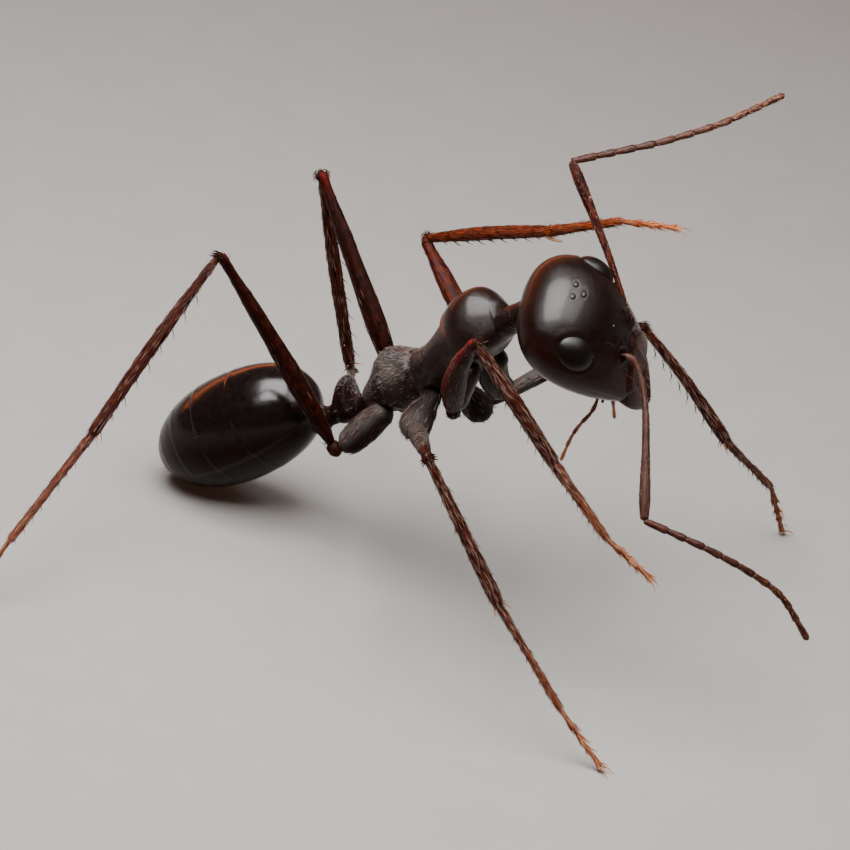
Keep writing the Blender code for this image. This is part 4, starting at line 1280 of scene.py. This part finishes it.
# steps are azimuth, elevation and length of femur, tibia, basitarsus and foot; tip is how far
# out, behind and below the neck's joint the coxa ends
legs = {
    "front_right": dict(side=1, kind="front", tip=(0.6, 2.25, 0.95), steps=(
        (-136.8, 52.2, 3.21), (-62, -46, 2.7), (-75, -38, 1.6), (-60, -31, 1.2)),
        femurBend=(-0.09, 0.09, -0.03), coxaBend=(-0.07, 0.07, -0.02)),
    "front_left": dict(side=-1, kind="front", tip=(0.92, 2.33, 1.2), steps=(
        (83, 31.5, 3.4), (-77, 26, 2.7), (-77.5, 29.7, 1.6), (-65, 11, 1.2)),
        # painted backlight: this far leg takes the redder, backlit-looking copies of the limb shell and its
        # hair
        mat="paintedBacklitLimbShell", hair="paintedBacklitHair", coxaBend=(-0.12, 0.08, -0.1)),
    "mid_right": dict(side=1, kind="mid", tip=(0.87, 2.97, 0.77), steps=(
        (-135, 19, 3.45), (-78, -48, 2.97), (-74, -44, 2.15), (-78, -38, 1.4))),
    "mid_left": dict(side=-1, kind="mid", tip=(0.76, 2.98, 1.12), steps=(
        (-20, 25, 3.45), (-44, -47, 2.97), (0, -41, 2.15), (2, -40, 1.4))),
    "hind_right": dict(side=1, kind="hind", tip=(0.93, 5.05, 0.48), steps=(
        (129, 52, 4.5), (180, -49, 4.05), (-170, -33, 2.6), (-174, -40, 1.7))),
    "hind_left": dict(side=-1, kind="hind", tip=(0.78, 4.6, 0.34), steps=(
        (92, 50, 4.5), (-48, -73, 4.05), (38, -30, 2.6), (40, -32, 1.7))),
}
# what a leg has unless its own entry says otherwise
plainLeg = dict(mat="limbShell", hair="silverHair", femurBend=(0.0, 0.0, 0.0), coxaBend=(0.0, 0.0, 0.0))
# each kind gives how far up its coxa the painted shade at the root reaches, and where along its femur the
# painted glow starts and how far round it goes
legKinds = {
    "front": dict(
        stands=False, hipEnd=0.1, silver=190.0, downy=0.05, paintedGlowFrom=0.0, paintedGlowSpread=-0.7,
        roots="trunkShell", trochanterMat=0, darkFemur=0.0,
        coxa=((0.0, 0.2), (0.15, 0.26), (0.5, 0.29), (0.84, 0.27), (0.96, 0.2), (1.0, 0.12)),
        femur=((0.0, 0.12), (0.12, 0.2), (0.35, 0.245), (0.7, 0.19), (0.92, 0.12), (1.0, 0.12)),
        tibia=((0.0, 0.085), (0.06, 0.075), (0.16, 0.1), (0.5, 0.13), (0.9, 0.12), (1.0, 0.1)),
        basitarsus=((0.0, 0.07), (0.08, 0.098), (0.35, 0.08), (0.85, 0.072), (1.0, 0.06))),
    "mid": dict(
        stands=True, hipEnd=-0.27, silver=190.0, downy=0.2, paintedGlowFrom=0.95, paintedGlowSpread=0.3, paintedRootShade=0.78,
        roots="downShell", trochanterMat=1, darkFemur=0.72,
        coxa=((0.0, 0.15), (0.25, 0.19), (0.5, 0.27), (0.7, 0.31), (1.0, 0.3)),
        femur=((0.0, 0.1), (0.12, 0.15), (0.35, 0.18), (0.7, 0.135), (0.92, 0.1), (1.0, 0.115)),
        tibia=((0.0, 0.085), (0.05, 0.076), (0.15, 0.085), (0.5, 0.1), (0.88, 0.122), (1.0, 0.095)),
        basitarsus=((0.0, 0.05), (0.08, 0.07), (0.5, 0.055), (0.9, 0.064), (1.0, 0.052))),
    "hind": dict(
        stands=True, hipEnd=0.1, silver=50.0, downy=0.2, paintedGlowFrom=0.75, paintedGlowSpread=0.3, paintedRootShade=0.2,
        roots="downShell", trochanterMat=0, darkFemur=0.0,
        coxa=((0.0, 0.2), (0.15, 0.26), (0.5, 0.3), (0.84, 0.27), (0.96, 0.2), (1.0, 0.12)),
        femur=((0.0, 0.1), (0.1, 0.17), (0.3, 0.215), (0.65, 0.165), (0.92, 0.105), (1.0, 0.12)),
        tibia=((0.0, 0.08), (0.04, 0.066), (0.12, 0.085), (0.5, 0.125), (0.93, 0.112), (1.0, 0.095)),
        basitarsus=((0.0, 0.055), (0.06, 0.076), (0.5, 0.066), (0.93, 0.07), (1.0, 0.055))),
}
limb = {
    "soleHeight": 0.05, "columns": 24, "femurBow": 0.05, "tibiaBow": 0.07, "tarsus": 0.058,
    "trochanter": ((0.0, 0.1), (0.5, 0.135), (1.0, 0.12)), "cheek": ((0.0, 0.04), (0.5, 0.062), (1.0, 0.045)),
    "trochanterLength": 0.26, "cheekOut": 0.065, "toeShort": 0.16, "toeFlat": 0.2, "toeHeight": 0.105,
    "tarsomeres": (0.0, 0.36, 0.58, 0.74, 1.0),
    "toe": ((0.0, 0.55), (0.3, 0.64), (0.75, 0.88), (0.93, 1.2), (1.0, 0.95)),
}


def legJoints(data, kind):
    out, behind, below = data["tip"]
    joints = walk(inFrame(neckJoint, trunkAxes, data["side"] * out, -behind, -below), data["steps"][:3])
    azimuth, elevation, length = data["steps"][3]
    if kind["stands"]:
        # the foot comes down just onto its sole
        elevation = -math.degrees(math.asin((joints[-1].z - limb["soleHeight"]) / length))
    return joints + [joints[-1] + direction(azimuth, elevation) * length]


def levelled(way):
    return Vector((way.x, way.y, 0.0))


def buildLeg(name, data):
    side, kind, columns = data["side"], legKinds[data["kind"]], limb["columns"]
    joints = legJoints(data, kind)
    ways = [(b - a).normalized() for a, b in zip(joints, joints[1:])]
    share, below = hips[data["kind"]]
    root = trunkSpot(share * trunk["length"], sideAngle(side, -below), 0.1)
    # the legs bend in the plane of femur and tibia, and its knee side is up
    knee = (ways[0] - ways[1]).normalized()
    across = ways[0].cross(ways[1]).normalized()
    skin = newSkin(4)
    hipEnd = joints[0] + (root - joints[0]).normalized() * kind["hipEnd"]
    coxa = limbRings(root, hipEnd, kind["coxa"], 40, 36, Vector(data["coxaBend"]), flat=0.92)
    rim, dark = None, kind.get("paintedRootShade")
    if dark:
        # painted shade: underneath and near its root, where it meets the trunk, the coxa takes a near-black
        # colour over its down
        paintedShadeBelow = facing(coxa, -skyward, -0.6, 0.0)
        rim = lambda share, turn: max(paintedShadeBelow(share, turn), smooth(share, dark, 0.6 * dark))
    addRings(skin, coxa, kind["downy"], reach=(0.0, 0.05), mat=1, rim=rim)
    turning = joints[0] + ways[0] * limb["trochanterLength"]
    addRings(skin, limbRings(joints[0] - ways[0] * 0.07, turning, limb["trochanter"], 20, columns),
             0.3, reach=(0.06, 0.08), mat=kind["trochanterMat"])
    bend = knee * limb["femurBow"] + Vector(data["femurBend"])
    femur = limbRings(turning - ways[0] * 0.06, joints[1] + knee * 0.03, kind["femur"], 56, columns + 4,
                      bend, flat=0.86, flatAxis=knee)
    # painted glow: the femur's side that faces the knee turns red towards the knee, as if lit through from
    # behind
    ridge, paintedGlowFrom = facing(femur, squareTo(knee, ways[0]), kind["paintedGlowSpread"], 0.85), kind["paintedGlowFrom"]
    addRings(skin, femur, lambda share, turn: 0.08 + 0.12 * smooth(share, 0.8, 0.98), reach=(0.1, 0.4),
             mat=lambda share: 1 if share < kind["darkFemur"] else 0,
             rim=lambda share, turn: ridge(share, turn) * smooth(share, paintedGlowFrom, paintedGlowFrom + 0.25))
    # the knee's two cheeks hold the tibia's narrow head between them
    for cheek in (1, -1):
        spot = joints[1] + across * (limb["cheekOut"] * cheek) - ways[0] * 0.02
        addRings(skin, limbRings(spot - ways[0] * 0.11, spot + ways[0] * 0.07 + ways[1] * 0.04,
                                 limb["cheek"], 12, 14), 0.1, reach=(0.4, 0.4))
    tibia = limbRings(joints[1] + knee * 0.02 - ways[1] * 0.05, joints[2], kind["tibia"], 52, columns,
                      knee * limb["tibiaBow"], flat=0.9, flatAxis=knee)
    addRings(skin, tibia, lambda share, turn: 0.05 + 0.95 * smooth(share, 0.03, 0.12), reach=(0.42, 0.66))
    basitarsus = limbRings(joints[2] - ways[2] * 0.09, joints[3], kind["basitarsus"], 36, columns - 4)
    addRings(skin, basitarsus, 1.2, reach=(0.68, 0.84))
    toeEnd = joints[4] - ways[3] * limb["toeShort"]
    if kind["stands"]:
        toeEnd = joints[4] - levelled(ways[3]) * limb["toeFlat"]
        toeEnd.z = limb["toeHeight"]
    path = [joints[3] - ways[2] * 0.02, joints[3].lerp(toeEnd, 0.5), toeEnd]
    segmentChain(skin, path, limb["tarsomeres"], limb["tarsus"], limb["toe"], columns - 6, (0.86, 1.0), 0.84)
    nodes = [part + "_" + name for part in ("coxa", "femur", "tibia", "basitarsus", "foot")]
    makePiece(skin, "leg_" + name, "tibia", [data["mat"], kind["roots"]], nodes, (
        "legDown_" + name, "tibia",
        dict(Density=kind["silver"], Length=0.17, Thickness=0.0078, Rise=0.1, Disorder=0.07, Curve=0.04,
             Seed=71, Material=data["hair"]),
        dict(Density=300.0, Length=0.15, Thickness=0.0078, Rise=0.14, Disorder=0.1, Curve=0.06, Seed=72,
             Material="brownHair"),
        dict(Density=34.0, Length=0.14, Thickness=0.0064, Rise=0.62, Disorder=0.16, Curve=0.35, Seed=73,
             Material="brownHair")))
    buildClaws(name, kind, joints, ways, toeEnd, across)


# for each row of bristles: their number, length and radius
spines = {
    "tibia": (9, 0.18, 0.0085), "basitarsus": (8, 0.14, 0.0075), "knee": (45, 0.1, 0.008), "splay": 0.95,
    "toe": (6, 0.12, 0.008),
}
claw = {"length": 0.3, "radius": 0.017, "splay": 0.5, "curl": 0.12, "pad": 0.032, "spur": 0.24}
comb = {"length": 0.46, "radius": 0.036, "teeth": 18, "tooth": 0.06, "toothRadius": 0.006}


def addSpines(skin, joints, ways, across, inner):
    # two rows of stiff bristles under tibia and basitarsus, a tuft round the knee, a few at each toe joint
    for part, i, wide in (("tibia", 1, 0.09), ("basitarsus", 2, 0.06)):
        count, length, radius = spines[part]
        way, under = ways[i], squareTo(inner, ways[i])
        for k in range(2 * count):
            side = 1.0 if k % 2 else -1.0
            out = (under + across * spines["splay"] * side).normalized()
            root = joints[i].lerp(joints[i + 1], 0.14 + 0.84 * (k + 0.5) / (2 * count)) + out * wide
            long = length * (0.8 + 0.35 * math.sin(2.3 * k) ** 2)
            addRings(skin, spike(root, (out + way * 0.8).normalized(), long, radius, way * 0.04, 4, 5),
                     0.0, mat=1)
    count, length, radius = spines["knee"]
    for k, a in enumerate(turns(count)):
        out = across * math.cos(a) + across.cross(ways[1]) * math.sin(a)
        root = joints[1] + ways[1] * (0.05 * (k % 3) - 0.04) + out * 0.09
        bristle = spike(root, (out + ways[1] * 0.5).normalized(), length, radius, rows=3, columns=5)
        addRings(skin, bristle, 0.0, mat=1)
    count, length, radius = spines["toe"]
    for cut in limb["tarsomeres"][1:]:
        for a in (1.05 * turn for turn in range(count)):
            out = (inner * math.cos(a) + across * math.sin(a)).normalized()
            root = joints[3].lerp(joints[4], cut * 0.86) + out * 0.045
            bristle = spike(root, (out + ways[3] * 1.7).normalized(), length, radius, rows=3, columns=5)
            addRings(skin, bristle, 0.0)


def buildClaws(name, kind, joints, ways, toeEnd, across):
    skin = newSkin(6)
    toeWay = (toeEnd - joints[3]).normalized()
    level = levelled(toeWay).normalized() if kind["stands"] else toeWay
    aside = toeWay.cross(skyward).normalized()
    down = aside.cross(level)
    if down.z > 0.0:
        down = -down
    for turn in (1, -1):
        way = (level + aside * (claw["splay"] * turn) - down * 0.12).normalized()
        curl = down * claw["curl"] + aside * (-0.03 * turn)
        rings = spike(toeEnd + aside * (0.02 * turn), way, claw["length"], claw["radius"], curl)
        if kind["stands"]:
            # its point rests on the floor
            drop = 0.0015 - min(p.z for ring in rings for p in ring)
            rings = [[p + skyward * (drop * smooth(r, 1.0, 7.0)) for p in ring]
                     for r, ring in enumerate(rings)]
        addRings(skin, rings, 0.0, reach=(0.9, 0.2))
    pad = toeEnd + level * 0.04 + down * 0.02
    addRings(skin, limbRings(pad - level * 0.03, pad + level * 0.07 + down * 0.02,
                             ((0.0, 0.03), (0.6, claw["pad"]), (1.0, 0.03)), 12, 16, flat=0.6, flatAxis=down),
             0.0, reach=(0.2, 0.2))
    # spurs at the tibia's end: a comb-edged one on the front legs, plain ones elsewhere
    inner = -squareTo((ways[0] - ways[1]).normalized(), ways[1])
    base = joints[2] - ways[1] * 0.07 + inner * 0.07
    if kind["stands"]:
        for turn in (1.0, -1.0):
            way = (ways[2] + inner * 0.45 + across * 0.6 * turn).normalized()
            spur = spike(base + across * 0.06 * turn, way, claw["spur"], claw["radius"], ways[2] * 0.03)
            addRings(skin, spur, 0.0, reach=(0.3, 0.0))
    else:
        way = (ways[2] + inner * 0.75).normalized()
        spur = spike(base, way, comb["length"], comb["radius"], -inner * 0.12, 16, 12)
        addRings(skin, spur, 0.0, reach=(0.0, 0.3))
        toothWay = (ways[2] * 0.6 - inner * 0.8).normalized()
        for k in range(comb["teeth"]):
            ring = spur[2 + int(12.0 * k / (comb["teeth"] - 1))]
            middle = sum(ring, Vector()) / len(ring)
            tooth = spike(middle, toothWay, comb["tooth"], comb["toothRadius"], rows=3, columns=5)
            addRings(skin, tooth, 0.0)
    addSpines(skin, joints, ways, across, inner)
    makePiece(skin, "claws_" + name, "tarsus", ["hornyTip", "limbShell"])


for name, data in legs.items():
    buildLeg(name, {**plainLeg, **data})
print("legs made,", sum(coatTriangles), "hair triangles in all")


# floor, lights and camera

studio = {
    "target": (-2.114, -1.026, 4.816), "azimuth": -51.1, "elevation": 28.0, "roll": 11.0,
    "distance": 170.0, "lens": 401.0, "floor": 400.0, "steps": 24,
    "world": (1.0, 0.88, 0.78), "worldStrength": 0.13,
}
# where each light stands round the target, and its size across the view and along it
lights = {
    "softBox": dict(azimuth=149.5, elevation=73.5, distance=33.0, size=(27.0, 35.0), energy=0.05,
                    colour=(1.0, 0.99, 0.97)),
    "sideBox": dict(azimuth=-56.0, elevation=65.7, distance=35.3, size=(16.0, 35.0), energy=0.013,
                    colour=(1.0, 0.98, 0.96)),
    "warmRim": dict(azimuth=66.0, elevation=5.0, distance=60.0, size=(70.0, 6.0), energy=0.006,
                    colour=(1.0, 0.22, 0.06)),
}


def buildFloor():
    half, steps = studio["floor"] * mm, studio["steps"]
    places = [half * (2.0 * i / steps - 1.0) for i in range(steps + 1)]
    corners = [i * (steps + 1) + j for i in range(steps) for j in range(steps)]
    mesh = bpy.data.meshes.new("studioFloor")
    mesh.from_pydata([(x, y, 0.0) for x in places for y in places], [],
                     [(a, a + steps + 1, a + steps + 2, a + 1) for a in corners])
    made, tree, sockets = newMaterial("paleFloor")
    tone = mixColour(tree, noise(tree, objectPlace(tree), 900.0), (0.212, 0.204, 0.196), (0.238, 0.229, 0.22))
    setSockets(tree, sockets, Base_Color=tone, Roughness=0.85)
    mesh.materials.append(made)
    newObject("studioFloor", mesh)


def addLight(name, light):
    data = bpy.data.lights.new(name, "AREA")
    data.shape = "RECTANGLE"
    data.size, data.size_y = [side * mm for side in light["size"]]
    data.energy, data.color = light["energy"], light["colour"]
    back = direction(light["azimuth"], light["elevation"])
    across = squareTo(direction(studio["azimuth"], 0.0), back)
    spot = (Vector(studio["target"]) + back * light["distance"]) * mm
    turn = Matrix((across, back.cross(across), back)).transposed()
    newObject(name, data).matrix_world = Matrix.Translation(spot) @ turn.to_4x4()


def addCamera():
    data = bpy.data.cameras.new("studioCamera")
    data.lens, data.sensor_width = studio["lens"], 36.0
    data.clip_start, data.clip_end = 5.0 * mm, 3000.0 * mm
    camera = newObject("studioCamera", data)
    back = direction(studio["azimuth"] - 90.0, studio["elevation"])
    spot = Vector(studio["target"]) + back * studio["distance"]
    turn = (-back).to_track_quat("-Z", "Y").to_matrix()
    turn = turn @ Matrix.Rotation(math.radians(studio["roll"]), 3, "Z")
    camera.matrix_world = Matrix.Translation(spot * mm) @ turn.to_4x4()
    bpy.context.scene.camera = camera


buildFloor()
for name, light in lights.items():
    addLight(name, light)
world = bpy.data.worlds.new("studioWorld")
world.use_nodes = True
air = world.node_tree.nodes["Background"].inputs
setSockets(world.node_tree, air, Color=studio["world"], Strength=studio["worldStrength"])
bpy.context.scene.world = world
addCamera()
print("studio ready")
